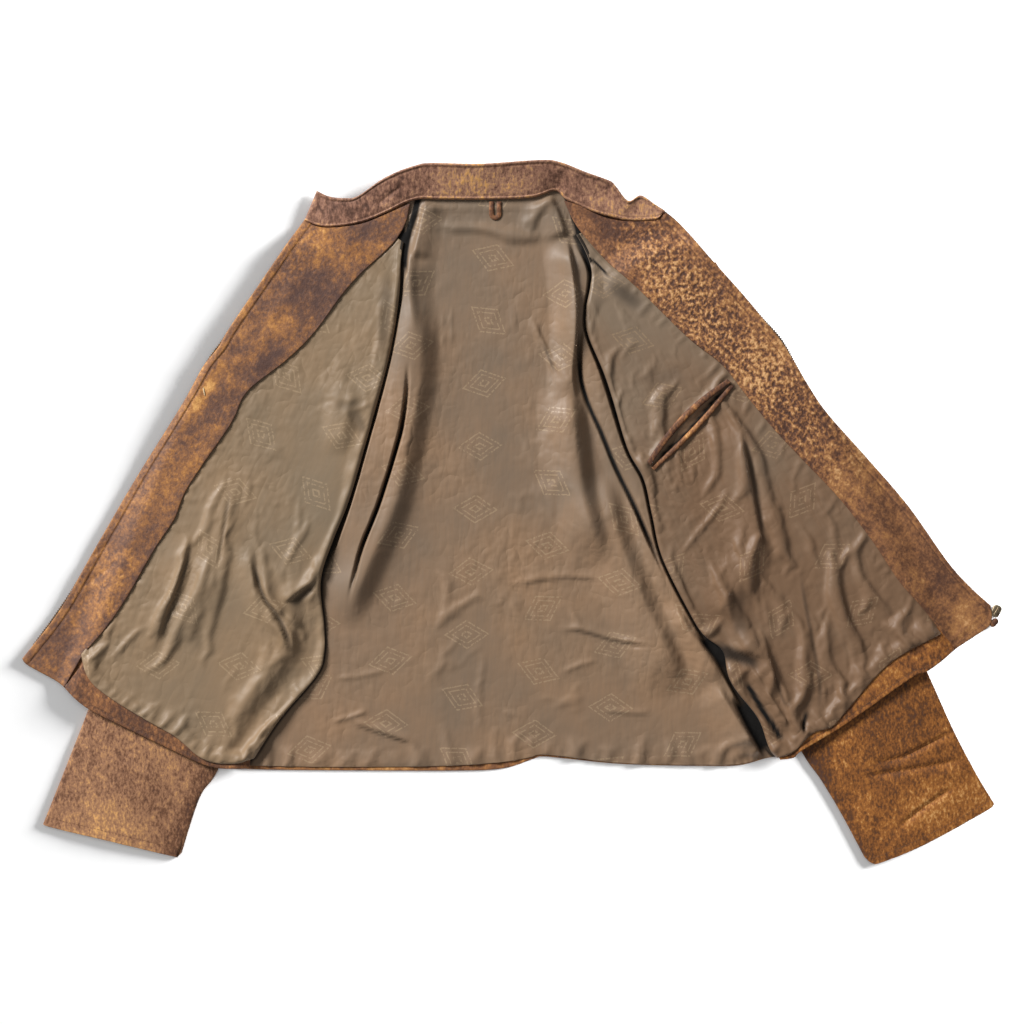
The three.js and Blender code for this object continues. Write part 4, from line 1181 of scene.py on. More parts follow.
def satin_group() -> bpy.types.NodeTree:
    """Builds the group for the lining: its woven figure, the drift of its tint, its twill and its fine creases."""
    inputs = (("Vector", "Vector"), ("Fall", "Float"))
    graph, given, out = new_group("figured_satin", inputs, ("Figure", "Tint", "Height"))
    apart = graph.node("SeparateXYZ")
    graph.put(apart.inputs[0], given["Vector"])
    x, y = apart.outputs[0], apart.outputs[1]
    wide, tall = 0.078, 0.066  # spacing of the figures, in metres
    half_wide, half_tall = 0.0225, 0.0145
    column = graph.math("FLOOR", graph.math("DIVIDE", x, wide))
    dropped = graph.math("ADD", graph.math("DIVIDE", y, tall), graph.math("MULTIPLY", column, 0.5))
    row = graph.math("FLOOR", dropped)
    across = graph.centred(graph.math("FRACT", graph.math("DIVIDE", x, wide)), wide)
    along = graph.centred(graph.math("FRACT", dropped), tall)
    cell = graph.node("CombineXYZ")
    graph.put(cell.inputs[0], column)
    graph.put(cell.inputs[1], row)
    chance = graph.node("TexWhiteNoise", noise_dimensions="2D")
    graph.put(chance.inputs["Vector"], cell.outputs[0])
    turn = graph.centred(chance.outputs["Value"], 1.5)
    cosine, sine = graph.math("COSINE", turn), graph.math("SINE", turn)
    right = graph.math("SUBTRACT", graph.math("MULTIPLY", across, cosine), graph.math("MULTIPLY", along, sine))
    up = graph.math("ADD", graph.math("MULTIPLY", across, sine), graph.math("MULTIPLY", along, cosine))
    lozenge = graph.math("ADD", graph.math("DIVIDE", graph.math("ABSOLUTE", right), half_wide),
                         graph.math("DIVIDE", graph.math("ABSOLUTE", up), half_tall))
    figure: object = 0.0
    for size, width in ((1.0, 0.08), (0.66, 0.07), (0.24, 0.1)):
        off = graph.math("ABSOLUTE", graph.math("SUBTRACT", lozenge, size))
        line = graph.math("SUBTRACT", 1.0, graph.math("DIVIDE", off, width))
        figure = graph.math("MAXIMUM", figure, graph.math("MULTIPLY", line, 2.0))
    strokes = graph.math("GREATER_THAN", graph.noise(given["Vector"], 420.0, 1.0), 0.46)
    figure = graph.math("MULTIPLY", graph.math("MINIMUM", figure, 1.0), strokes)
    graph.put(out["Figure"], figure)
    drift = graph.noise(given["Vector"], 7.0, 3.0, 0.6)
    slub = graph.node("Mapping")
    slub.inputs["Scale"].default_value = (420.0, 30.0, 30.0)
    graph.put(slub.inputs["Vector"], given["Vector"])
    threads = graph.noise(slub.outputs[0], 1.0, 2.0)
    tint = graph.math("ADD", graph.centred(drift, 1.7), graph.math("ADD", 0.48, graph.centred(threads, 0.25)))
    graph.put(out["Tint"], graph.math("SUBTRACT", tint, graph.math("MULTIPLY", y, given["Fall"])))
    twill = graph.math("SINE", graph.math("MULTIPLY", graph.math("ADD", x, graph.math("MULTIPLY", y, 0.6)), 9000.0))
    weave = graph.math("MULTIPLY_ADD", twill, 0.2, threads)
    pulled = graph.node("Mapping")
    pulled.inputs["Scale"].default_value = (54.0, 17.0, 17.0)
    graph.put(pulled.inputs["Vector"], given["Vector"])
    lines = graph.math("ABSOLUTE", graph.centred(graph.noise(pulled.outputs[0], 1.0, 2.0, 0.5), 2.0))
    crumpled = graph.math("ABSOLUTE", graph.centred(graph.noise(given["Vector"], 40.0, 2.0, 0.5), 2.0))
    slack = graph.math("MAXIMUM", graph.centred(graph.noise(given["Vector"], 8.0, 1.0), 3.0), -0.35)
    creased = graph.math("MULTIPLY", graph.math("MULTIPLY_ADD", lines, 0.5, crumpled), graph.math("ADD", slack, 0.5))
    graph.put(out["Height"], graph.math("MULTIPLY_ADD", weave, 0.015, creased))
    return graph.tree


def fibre_group() -> bpy.types.NodeTree:
    """Builds the group for tape and thread: fine ribs and their shade."""
    graph, given, out = new_group("ribbed_fibre", (("Vector", "Vector"), ("Rib", "Float")), ("Shade", "Height"))
    apart = graph.node("SeparateXYZ")
    graph.put(apart.inputs[0], given["Vector"])
    ribs = graph.math("SINE", graph.math("MULTIPLY", apart.outputs[1], given["Rib"]))
    fuzz = graph.noise(given["Vector"], 1500.0, 2.0)
    graph.put(out["Height"], graph.math("MULTIPLY_ADD", ribs, 0.5, fuzz))
    graph.put(out["Shade"], graph.math("MULTIPLY_ADD", ribs, 0.2, fuzz))
    return graph.tree


def metal_group() -> bpy.types.NodeTree:
    """Builds the group for dulled metal: its tarnish and how rough that leaves it."""
    graph, given, out = new_group("dulled_metal", (("Vector", "Vector"), ("Scale", "Float")), ("Tarnish", "Roughness"))
    tarnish = graph.noise(given["Vector"], given["Scale"], 4.0, 0.6)
    graph.put(out["Tarnish"], tarnish)
    graph.put(out["Roughness"], graph.math("MULTIPLY_ADD", tarnish, 0.35, 0.25))
    return graph.tree


class Groups:
    """The shader node groups, each built once."""

    def __init__(self) -> None:
        """Builds the groups."""
        self.leather = leather_group()
        self.satin = satin_group()
        self.fibre = fibre_group()
        self.metal = metal_group()


def new_material(name: str) -> tuple[Material, Graph, bpy.types.Node]:
    """Starts a material and gives it, its graph and its shader."""
    material = bpy.data.materials.new(name)
    material.use_nodes = True
    return material, Graph(material.node_tree), material.node_tree.nodes["Principled BSDF"]


@dataclass(frozen=True)
class LeatherFinish:
    """Distressed leather, from dark stains to rubbed tan."""

    name: str
    angle: float = 0.0
    patch_scale: float = 15.0
    patch: float = 0.95
    grain_scale: float = 360.0
    grain: float = 0.75
    stretch: float = 0.62  # of the pattern, across its angle
    shift: float = 0.0  # of the whole tone
    roughness: float = 0.6
    relief: tuple[float, float] = (0.55, 0.0009)  # strength and depth of the grain
    stain: Colour = srgb(80, 53, 41)
    dark: Colour = srgb(106, 70, 47)
    brown: Colour = srgb(136, 91, 59)
    tan: Colour = srgb(168, 115, 67)
    pale: Colour = srgb(210, 157, 96)

    def material(self, groups: Groups) -> Material:
        """Makes the material."""
        made, graph, shader = new_material(self.name)
        worn = graph.node("Group", node_tree=groups.leather)
        values = {"Vector": graph.turned(self.angle, (1.0, self.stretch, 1.0)), "Patch Scale": self.patch_scale,
                  "Patch": self.patch, "Grain Scale": self.grain_scale, "Grain": self.grain,
                  "Pebble": graph.value_of("pebble"), "Rub": graph.value_of("rub"), "Groove Shade": graph.value_of("groove")}
        for key, value in values.items():
            graph.put(worn.inputs[key], value)
        tone = graph.math("ADD", worn.outputs["Tone"], self.shift)
        stops = ((0.05, self.stain), (0.3, self.dark), (0.52, self.brown), (0.74, self.tan), (1.0, self.pale))
        graph.put(shader.inputs["Base Color"], graph.ramp(tone, stops))
        graph.put(shader.inputs["Roughness"], graph.math("ADD", worn.outputs["Roughness Shift"], self.roughness))
        graph.put(shader.inputs["Normal"], graph.bump(worn.outputs["Height"], *self.relief))
        shader.inputs["Specular IOR Level"].default_value = SHINE
        return made


@dataclass(frozen=True)
class SatinFinish:
    """Khaki brown satin with a figure woven in its own tone, painted near black as shade where it dips between two
    folds.
    """

    name: str
    angle: float
    grey: Colour = srgb(121, 105, 85)
    brown: Colour = srgb(142, 116, 88)
    light: Colour = srgb(176, 152, 122)
    # near-black colour of the painted shade at slits, valleys and hidden strips
    painted_shade_colour: Colour = srgb(12, 9, 7)
    fall: float = 0.45  # change of the tint from the neck to the hem
    roughness: float = 0.5
    figure: float = 0.38  # strength of the woven figure
    relief: tuple[float, float] = (1.0, 0.0021)  # strength and depth of the fine creases
    sheen: tuple[float, float] = (0.05, 0.4)  # weight and roughness

    def material(self, groups: Groups) -> Material:
        """Makes the material."""
        made, graph, shader = new_material(self.name)
        cloth = graph.node("Group", node_tree=groups.satin)
        graph.put(cloth.inputs["Vector"], graph.turned(self.angle))
        graph.put(cloth.inputs["Fall"], self.fall)
        ground = graph.ramp(cloth.outputs["Tint"], ((0.15, self.grey), (0.85, self.brown)))
        figure = graph.math("MULTIPLY", cloth.outputs["Figure"], self.figure)
        woven = graph.mix(figure, ground, self.light)
        # Painted shade: darker and duller where the mesh marks the floor of a slit or valley.
        painted_shade = graph.value_of("painted_shade")
        graph.put(shader.inputs["Base Color"], graph.mix(painted_shade, woven, self.painted_shade_colour))
        rough = graph.math("MULTIPLY_ADD", cloth.outputs["Figure"], -0.1, self.roughness)
        graph.put(shader.inputs["Roughness"], graph.math("MULTIPLY_ADD", painted_shade, 0.4, rough))
        graph.put(shader.inputs["Normal"], graph.bump(cloth.outputs["Height"], *self.relief))
        shader.inputs["Specular IOR Level"].default_value = SHINE
        shader.inputs["Sheen Weight"].default_value = self.sheen[0]
        shader.inputs["Sheen Roughness"].default_value = self.sheen[1]
        return made


@dataclass(frozen=True)
class FibreFinish:
    """Woven tape or sewing thread."""

    name: str
    colour: Colour
    shaded: Colour
    rib: float
    roughness: float = 0.8
    angle: float = 50.0  # of the ribs

    def material(self, groups: Groups) -> Material:
        """Makes the material."""
        made, graph, shader = new_material(self.name)
        fibre = graph.node("Group", node_tree=groups.fibre)
        graph.put(fibre.inputs["Vector"], graph.turned(self.angle))
        graph.put(fibre.inputs["Rib"], self.rib)
        stops = ((0.2, self.shaded), (0.75, self.colour))
        graph.put(shader.inputs["Base Color"], graph.ramp(fibre.outputs["Shade"], stops))
        graph.put(shader.inputs["Normal"], graph.bump(fibre.outputs["Height"], 0.4, 0.0003))
        shader.inputs["Roughness"].default_value = self.roughness
        return made


@dataclass(frozen=True)
class MetalFinish:
    """Dulled metal of the zip."""

    name: str
    bright: Colour
    dull: Colour
    scale: float = 260.0  # of the tarnish
    metallic: float = 0.9

    def material(self, groups: Groups) -> Material:
        """Makes the material."""
        made, graph, shader = new_material(self.name)
        dulled = graph.node("Group", node_tree=groups.metal)
        graph.put(dulled.inputs["Vector"], graph.turned(0.0))
        graph.put(dulled.inputs["Scale"], self.scale)
        tarnish = dulled.outputs["Tarnish"]
        graph.put(shader.inputs["Base Color"], graph.ramp(tarnish, ((0.35, self.dull), (0.65, self.bright))))
        graph.put(shader.inputs["Roughness"], dulled.outputs["Roughness"])
        graph.put(shader.inputs["Normal"], graph.bump(tarnish, 0.2, 0.0003))
        shader.inputs["Metallic"].default_value = self.metallic
        return made


@dataclass(frozen=True)
class Finishes:
    """Every material of the jacket."""

    facing_left: Material
    facing_right: Material
    shell: Material
    sleeves: dict[Hand, Material]
    hems: dict[Hand, Material]
    collar: Material
    trim: Material
    satin_left: Material
    shaded_satin_right: Material
    satin_back: Material
    tape: Material
    thread: Material
    tack: Material
    teeth: Material
    slider: Material


def make_finishes() -> Finishes:
    """Makes every material of the jacket from the shared node groups."""
    groups = Groups()

    def leather(name: str, angle: float, **changes: object) -> Material:
        """Makes one leather, with its changes from the usual finish."""
        return LeatherFinish(name, angle, **changes).material(groups)

    def satin(name: str, angle: float, **changes: object) -> Material:
        """Makes one satin, with its changes from the usual finish."""
        return SatinFinish(name, angle, **changes).material(groups)

    def fibre(name: str, colour: Colour, shaded: Colour, rib: float) -> Material:
        """Makes one tape or thread."""
        return FibreFinish(name, colour, shaded, rib).material(groups)

    def metal(name: str, bright: Colour, dull: Colour) -> Material:
        """Makes one metal."""
        return MetalFinish(name, bright, dull).material(groups)

    return Finishes(
        facing_left=leather("facing_leather_left", -32, patch_scale=17, stretch=0.85, shift=-0.05,
                            stain=srgb(82, 58, 50), dark=srgb(104, 72, 55), brown=srgb(136, 92, 58),
                            tan=srgb(168, 115, 63), pale=srgb(206, 154, 90)),
        facing_right=leather("facing_leather_right", 40, patch_scale=14, stretch=0.9, shift=0.03,
                             dark=srgb(100, 66, 46), brown=srgb(136, 92, 60), tan=srgb(166, 116, 70),
                             pale=srgb(206, 158, 108)),
        shell=leather("shell_leather", 10, shift=-0.03),
        sleeves={
            Hand.LEFT: leather("sleeve_leather_left", 75, patch_scale=19, patch=0.8, grain_scale=420, grain=1.2,
                               shift=0.03, brown=srgb(142, 102, 75), tan=srgb(167, 122, 84)),
            Hand.RIGHT: leather("sleeve_leather_right", 75, patch_scale=19, patch=0.8, grain_scale=420, grain=1.3,
                                dark=srgb(98, 60, 30), brown=srgb(136, 84, 40), tan=srgb(166, 106, 48)),
        },
        hems={
            Hand.LEFT: leather("hem_leather_left", 25, patch_scale=24, shift=-0.15),
            Hand.RIGHT: leather("hem_leather_right", 25, patch_scale=24, shift=0.02, dark=srgb(98, 60, 32),
                                brown=srgb(138, 86, 44), tan=srgb(168, 108, 50)),
        },
        collar=leather("collar_leather", 90, patch_scale=22, grain=1.1, shift=0.05, dark=srgb(112, 78, 62),
                       brown=srgb(144, 104, 84), tan=srgb(172, 129, 101)),
        trim=leather("trim_leather", 25, patch_scale=24, shift=-0.08),
        satin_left=satin("lining_satin_left", 24),
        # Darker copy of the lining satin for the right front: painted shade, greyer near the neck and darker brown
        # towards the hem.
        shaded_satin_right=satin("lining_satin_right", -28, fall=1.6, grey=srgb(126, 108, 89), brown=srgb(119, 92, 69),
                          light=srgb(164, 138, 108)),
        satin_back=satin("lining_satin_back", 4, grey=srgb(117, 100, 83), brown=srgb(144, 114, 87)),
        tape=fibre("zip_tape_weave", srgb(66, 52, 42), srgb(38, 30, 26), 6000.0),
        thread=fibre("sewing_thread", srgb(134, 93, 60), srgb(92, 62, 42), 9000.0),
        tack=fibre("pale_tack_thread", srgb(226, 205, 168), srgb(170, 140, 100), 9000.0),
        teeth=metal("zip_teeth_metal", srgb(120, 98, 72), srgb(62, 48, 38)),
        slider=metal("zip_slider_metal", srgb(176, 160, 132), srgb(110, 92, 70)),
    )


def loft(rings: Sequence[Array]) -> tuple[Array, list]:
    """Points and faces of a closed body through rings of the same number of points."""
    count = len(rings[0])
    faces = []
    for r in range(len(rings) - 1):
        for k in range(count):
            n = (k + 1) % count
            faces.append((r * count + k, r * count + n, (r + 1) * count + n, (r + 1) * count + k))
    last = (len(rings) - 1) * count
    faces.append(tuple(range(count - 1, -1, -1)))
    faces.append(tuple(last + k for k in range(count)))
    return np.concatenate(rings), faces


def make_bodies(name: str, bodies: Sequence[tuple[Array, list]], material: Material) -> Object:
    """Makes one piece from several closed bodies."""
    points, faces, first = [], [], 0
    for body, corners in bodies:
        points.append(body)
        faces.extend(tuple(first + k for k in face) for face in outward(body, corners))
        first += len(body)
    return make_object(name, np.concatenate(points), faces, material)


@dataclass
class Stitching:
    """Rows of sewing thread, each stitch a small rounded bar half sunk in the leather."""

    material: Material
    pitch: float = 3.8
    length: float = 2.7
    radius: float = 0.32
    sides: int = 5
    samples: int = 60  # most points of a row's line
    sink: float = 0.05  # depth of the stitches' middles below the surface

    def bar(self, start: Array, end: Array) -> tuple[Array, list]:
        """One stitch between two points."""
        along = (end - start) / np.linalg.norm(end - start)
        across = np.cross(along, (0, 0, 1.0))
        up = np.cross(across, along)
        angles = np.arange(self.sides) / self.sides * 2 * math.pi
        ring = np.cos(angles)[:, None] * across + np.sin(angles)[:, None] * up
        places = ((0.0, 0.35), (0.16, 0.9), (0.5, 1.1), (0.84, 0.9), (1.0, 0.35))
        return loft([start + (end - start) * t + ring * self.radius * r for t, r in places])

    def row(self, path: Array, surface: Surface) -> list:
        """The stitches along a plan path on a surface.

        Args:
            path: Plan points of the row.
            surface: What the row is sewn through.

        Returns:
            The bodies of the stitches.
        """
        line = Curve(path[:: max(1, len(path) // self.samples)])
        count = int(line.length // self.pitch)
        starts = np.arange(count) * self.pitch / line.length
        ends = starts + self.length / line.length
        plans = [line.at(shares) for shares in (starts, ends)]
        heights = [surface.height(plan) for plan in plans]
        bodies = []
        for a, b, za, zb in zip(*plans, *heights):
            if za > 0 and zb > 0:
                bodies.append(self.bar(np.array([*a, za - self.sink]), np.array([*b, zb - self.sink])))
        return bodies

    def make(self, name: str, bodies: list) -> Object:
        """Makes a piece of several rows."""
        piece = make_bodies(name, bodies, self.material)
        return piece


@dataclass
class Front:
    """One front of the jacket: its shell, zip tape, facing, hem turn-up and lining."""

    side: Outline
    creases: Sequence[Crease]
    folds: Sequence[Crease]
    facing_creases: Sequence[Crease]
    rubs: Sequence[Rub]
    pebbles: Sequence[Rub]
    reveals: Sequence[tuple[float, float]]
    gapes: Sequence[tuple[float, float, float]]
    ridges: Sequence[Crease]
    slits: Sequence[Slit]
    pivot: tuple[float, float]
    fullness: tuple[float, float]
    facing_material: Material
    satin: Material
    finishes: Finishes
    seed: int
    cell: float = 2.6  # spacing of the facing's rows
    shell_cell: float = 6.0
    tape_cell: float = 4.0
    length: float = 545.0
    width: float = 300.0
    shell_back: float = 1.4  # how far the shell keeps back from the front edge
    shell_rim: float = 1.2  # radius of its edge
    neck_rise: float = 4.0  # how far it passes the neck line, under the collar
    tape_back: float = 0.9
    tape_width: float = 12.0
    tape_thick: float = 1.0
    tape_rim: tuple[float, float] = (0.0, 0.3)
    tooth_pitch: float = 2.7
    tooth_back: float = 1.3
    tooth_margins: tuple[float, float] = (12.0, 26.0)  # length without teeth at the neck, and at both ends together
    overlap: float = 0.4  # how far the facing passes the front edge
    bared: float = 2.6  # how far it draws back where the teeth show
    band: float = 8.6  # width of the facing's raised edge band
    band_rise: float = 0.7
    band_groove: tuple[float, float] = (0.6, 0.9)  # distance of the groove from the band, and its width
    facing_columns: int = 28  # even columns of the facing
    hem_seam: float = 6.5  # distance of the seam at the facing's foot
    hem_sewn: float = 5.0  # distance of the stitches along the hem
    strip: tuple[float, float] = (210.0, 30.0)  # length and width of the turn-up
    strip_cells: tuple[float, float] = (2.8, 1.8)
    strip_end: tuple[float, float] = (14.0, 1.5)  # how far its end goes on under the back's lining, and down
    rim: float = 1.3  # radius of a leather edge
    lining_length: float = 520.0
    lining_cell: float = 2.3
    lining_columns: int = 90
    tuck: float = 5.0  # width of the lining under the facing
    hem_tuck: float = 9.0  # width of the turn-up under the lining
    loft: float = 3.4  # height of the lining's air
    roll: float = 5.0  # length of the lining that rolls under at the valley
    roll_turn: float = 155.0
    roll_columns: int = 11
    stray: float = 0.45  # how far the wrinkles stray from their fan
    fuller: tuple[float, float] = (200.0, 260.0)  # where the lining gets fuller towards its hem, and over which run
    crossed: float = 0.25  # share of the fullness that wrinkles across the fan
    swell: float = 2.5  # rise beside the valley
    spill: float = 1.4  # rise over the turn-up
    puff: float = TRIM_TOP + SATIN + GAP - LINING_LIE  # least height over the turn-up
    gathers: tuple[float, float] = (0.028, 0.1)  # fullness at the facing and at the hem
    cloth_cell: float = 2.2

    def __post_init__(self) -> None:
        """Prepares the height of the front and its shorthand values."""
        self.name = self.side.hand.value
        self.sign = self.side.hand.sign
        self.drape = Drape(self.side)
        self.edge = Curve(self.side.front_edge)
        self.seam = Curve(self.side.facing_seam)
        self.foot = Curve((*self.side.lining_hem, self.side.valley[-1]))
        self.hem = Curve(self.side.hem)

    def end_point(self) -> tuple[float, float]:
        """Where the hem strip's lower edge ends, under the back's lining."""
        (x, y), (_, back) = self.side.hem[-1], self.side.valley[-1]
        return (x + self.sign * self.strip_end[0], min(y, back - self.strip_end[1]))

    def inner_edge(self, share: Array) -> Array:
        """Points where the facing ends: along its tip, its seam and its short end."""
        rows = share * ALL_ROWS
        tip, end = Curve(self.side.facing_tip), Curve(self.side.facing_end)
        seam = self.seam.at((rows - TIP_ROWS) / (FOOT_ROW - TIP_ROWS))
        points = np.where((rows < TIP_ROWS)[:, None], tip.at(rows / TIP_ROWS), seam)
        return np.where((rows > FOOT_ROW)[:, None], end.at((rows - FOOT_ROW) / (ALL_ROWS - FOOT_ROW)), points)

    def reveal(self, share: Array) -> Array:
        """How far the facing's edge keeps back from the zip's teeth."""
        back = np.full_like(share, -self.overlap)
        for middle, run in self.reveals:
            back += self.bared * bell(share - middle, run)
        return back

    def build_shell(self) -> Object:
        """Builds the leather under the lining, from the front edge to the side seam."""
        v, u = spaced(self.length, self.shell_cell), spaced(self.width, self.shell_cell)
        first = self.edge.moved(v, self.sign * self.shell_back)
        rows = v * ALL_ROWS
        tip = Curve(self.side.facing_tip).at(rows / TIP_ROWS)
        seam = side_seam(self.side, np.clip((rows - TIP_ROWS) / (ALL_ROWS - TIP_ROWS), 0, 1))
        second = np.where((rows < TIP_ROWS)[:, None], tip, seam)
        head = bent(Curve(self.side.neck).at(u), first[0], second[0]) + np.array([0.0, self.neck_rise])
        foot = bent(Curve((*self.side.facing_foot, *self.side.hem[1:])).at(u), first[-1], second[-1])
        plan = patch(first, second, head, foot, u, v)
        x, y = plan[..., 0], plan[..., 1]
        under = self.drape.at(x, y)
        half = LEATHER / 2 * rounding(edge_distance(plan), self.shell_rim)
        middle = under + LEATHER / 2
        values = leather_values(rubbed(self.rubs, x, y))
        name = f"front_leather_{self.name}"
        piece = make_sheet(name, plan, middle + half, middle - half, self.finishes.shell, values)
        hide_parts(f"front_shell_{self.name}")
        return piece

    def build_tape(self) -> Object:
        """Builds the woven zip tape along the front edge."""
        v = spaced(self.length, self.tape_cell, (0.0,), (0.0,))
        u = spaced(self.tape_width, self.tape_cell / 2, self.tape_rim, self.tape_rim)
        first, second = (self.edge.moved(v, self.sign * back) for back in (self.tape_back, self.tape_width))
        plan = patch(first, second, first[0] + (second[0] - first[0]) * u[:, None],
                     first[-1] + (second[-1] - first[-1]) * u[:, None], u, v)
        under = self.drape.at(plan[..., 0], plan[..., 1]) + LEATHER + GAP
        piece = make_sheet(f"tape_{self.name}", plan, under + self.tape_thick, under, self.finishes.tape)
        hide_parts(f"zip_tape_{self.name}")
        return piece

    def build_teeth(self) -> Object:
        """Builds the row of metal teeth clamped on the tape's edge."""
        start, both = self.tooth_margins
        count = int((self.edge.length - both) / self.tooth_pitch)
        share = (start + np.arange(count) * self.tooth_pitch) / self.edge.length
        places = self.edge.moved(share, self.sign * self.tooth_back)
        inward = self.edge.normal(share) * self.sign
        heights = self.drape.at(places[:, 0], places[:, 1]) + LEATHER + GAP + self.tape_thick / 2
        # How far in, how wide and how tall a tooth is at each of its rings, and the corners of a ring.
        sizes = ((1.6, 0.5, 0.7), (0.8, 0.85, 1.0), (-0.4, 0.85, 1.0), (-1.1, 0.6, 0.75), (-1.3, 0.3, 0.4))
        corners = ((-1, -0.5), (-0.5, -1), (0.5, -1), (1, -0.5), (1, 0.5), (0.5, 1), (-0.5, 1), (-1, 0.5))
        bodies = []
        for (x, y), (nx, ny), z in zip(places, inward, heights):
            bodies.append(loft([
                np.array([(x + nx * far - ny * wide * a, y + ny * far + nx * wide * a, z + tall * b)
                          for a, b in corners]) for far, wide, tall in sizes]))
        piece = make_bodies(f"zip_teeth_{self.name}", bodies, self.finishes.teeth)
        return piece

    def build_facing(self) -> Object:
        """Builds the leather facing with its raised edge band and the groove beside it."""
        v = spaced(self.length, self.cell)
        first = self.edge.moved(v, self.sign * self.reveal(v))
        second = self.inner_edge(v)
        width = np.linalg.norm(second - first, axis=1)
        near = (*RIM, 3.0, 4.8, 6.4, 7.6, 8.4, 9.0, 9.6, 10.2, 11.0, 12.4)  # closer at the band's groove
        u = row_shares(width, near, (*RIM, 3.0), self.facing_columns)
        neck, foot_line = Curve(self.side.neck), Curve(self.side.facing_foot)
        head = bent(neck.at(u[0]), first[0], second[0])
        foot = bent(foot_line.at(u[-1]), first[-1], second[-1])
        plan = patch(first, second, head, foot, u, v)
        x, y = plan[..., 0], plan[..., 1]
        edge, seam = edge_distance(plan, "w"), edge_distance(plan, "e")
        ends = edge_distance(plan, "s")
        # Raised band along the edge, the groove beside it, the seam at the foot, unevenness, creases and puckers.
        beside, wide = self.band_groove
        groove = bell(edge - self.band - beside, wide) * smooth((ends - 3) / 4)
        hem_line = bell(ends - self.hem_seam, 1.1)
        relief = self.band_rise * (1 - smooth((edge - self.band + 1.4) / 1.6)) - 0.22 * groove - 0.4 * hem_line
        relief += 1.0 * Ripple(self.seed, 34.0).at(x, y) + 0.5 * Ripple(self.seed + 1, 11.0).at(x, y)
        relief += lifted(self.facing_creases, x, y)
        puckers = np.sin(edge_distance(plan, "n") / 5.5 + 3 * Ripple(self.seed + 2, 40.0).at(x, y))
        relief += 0.22 * puckers * bell(edge - self.band - 3, 5.0)
        middle = self.drape.at(x, y) + TRIM_TOP - LEATHER / 2
        half = LEATHER / 2 * rounding(edge_distance(plan), self.rim)
        relief *= rounding(edge_distance(plan, "wes"), 2.4)
        # Paler on both sides of the band and darker at the lining.
        worn = rubbed(self.rubs, x, y) + 0.3 * bell(edge, 2.0) + 0.25 * bell(edge - 7.4, 1.2)
        worn -= 0.3 * bell(seam, 4.0)
        values = leather_values(worn, rubbed(self.pebbles, x, y), np.clip(groove + 0.8 * hem_line, 0, 1))
        bottom = middle - half + np.minimum(relief, 0)
        piece = make_sheet(f"facing_{self.name}", plan, middle + half + relief, bottom, self.facing_material, values)
        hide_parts(f"front_facing_{self.name}")
        self.facing_plan = plan
        return piece

    def build_turnup(self) -> Object:
        """Builds the leather strip along the hem, with its upper edge under the lining."""
        along, across = (spaced(length, cell) for length, cell in zip(self.strip, self.strip_cells))
        outer = Curve((*self.side.hem, self.end_point())).at(along)
        inner = self.foot.moved(along, self.sign * self.hem_tuck)
        u = across[None, :, None]
        plan = inner[:, None] * (1 - u) + outer[:, None] * u
        x, y = plan[..., 0], plan[..., 1]
        edge = edge_distance(plan, "e")
        groove = bell(edge - self.hem_sewn, 0.9)
        relief = 0.5 * Ripple(self.seed + 5, 22.0).at(x, y) - 0.4 * groove - 0.2
        middle = self.drape.at(x, y) + TRIM_TOP - LEATHER / 2 + np.minimum(relief, 0.2)
        half = LEATHER / 2 * rounding(edge_distance(plan), self.rim)
        worn = rubbed(self.rubs, x, y) + 0.5 * Ripple(self.seed + 6, 30.0).at(x, y)
        piece = make_sheet(f"hem_strip_{self.name}", plan, middle + half, middle - half,
                           self.finishes.hems[self.side.hand], leather_values(worn, groove=groove))
        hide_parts(f"hem_turnup_{self.name}")
        return piece

    def rolled(self, plan: Array, top: Array, valley: Array) -> tuple[Array, Array]:
        """Rolls the lining's edge at the valley over and under itself.

        Args:
            plan: Plan points, by row and column.
            top: Heights.
            valley: Distances from the edge along the rows.

        Returns:
            The new plan points and heights.
        """
        beyond_roll = -14  # a column inside the rolled ones
        inward = plan[:, beyond_roll] - plan[:, -1]
        inward /= np.linalg.norm(inward, axis=1, keepdims=True)
        angle = np.radians(self.roll_turn) * (1 - np.clip(valley / self.roll, 0, 1))
        inside_run = self.roll * (1 - np.sin(angle)) * 0.9 + 0.1 * self.roll * (angle > math.pi / 2) * -np.cos(angle)
        land = BACK_TOP + SATIN + PASS_OVER
        crest = top[:, np.argmin(np.abs(valley[0] - self.roll))][:, None]
        waist = land + 0.45 * np.maximum(crest - land, 0.6)
        rolled = np.where(angle < math.pi / 2, waist + (np.maximum(top, waist) - waist) * np.cos(angle),
                          waist + (waist - land) * np.cos(angle))
        on_edge = valley < self.roll
        moved = plan[:, -1:] + inward[:, None] * inside_run[..., None]
        return np.where(on_edge[..., None], moved, plan), np.where(on_edge, rolled, top)

    def gape(self, share: Array) -> Array:
        """How far the lining's edge keeps back from the valley where the fronts gape."""
        back = np.zeros_like(share)
        for middle, run, width in self.gapes:
            back += width * bell(share - middle, run)
        return back

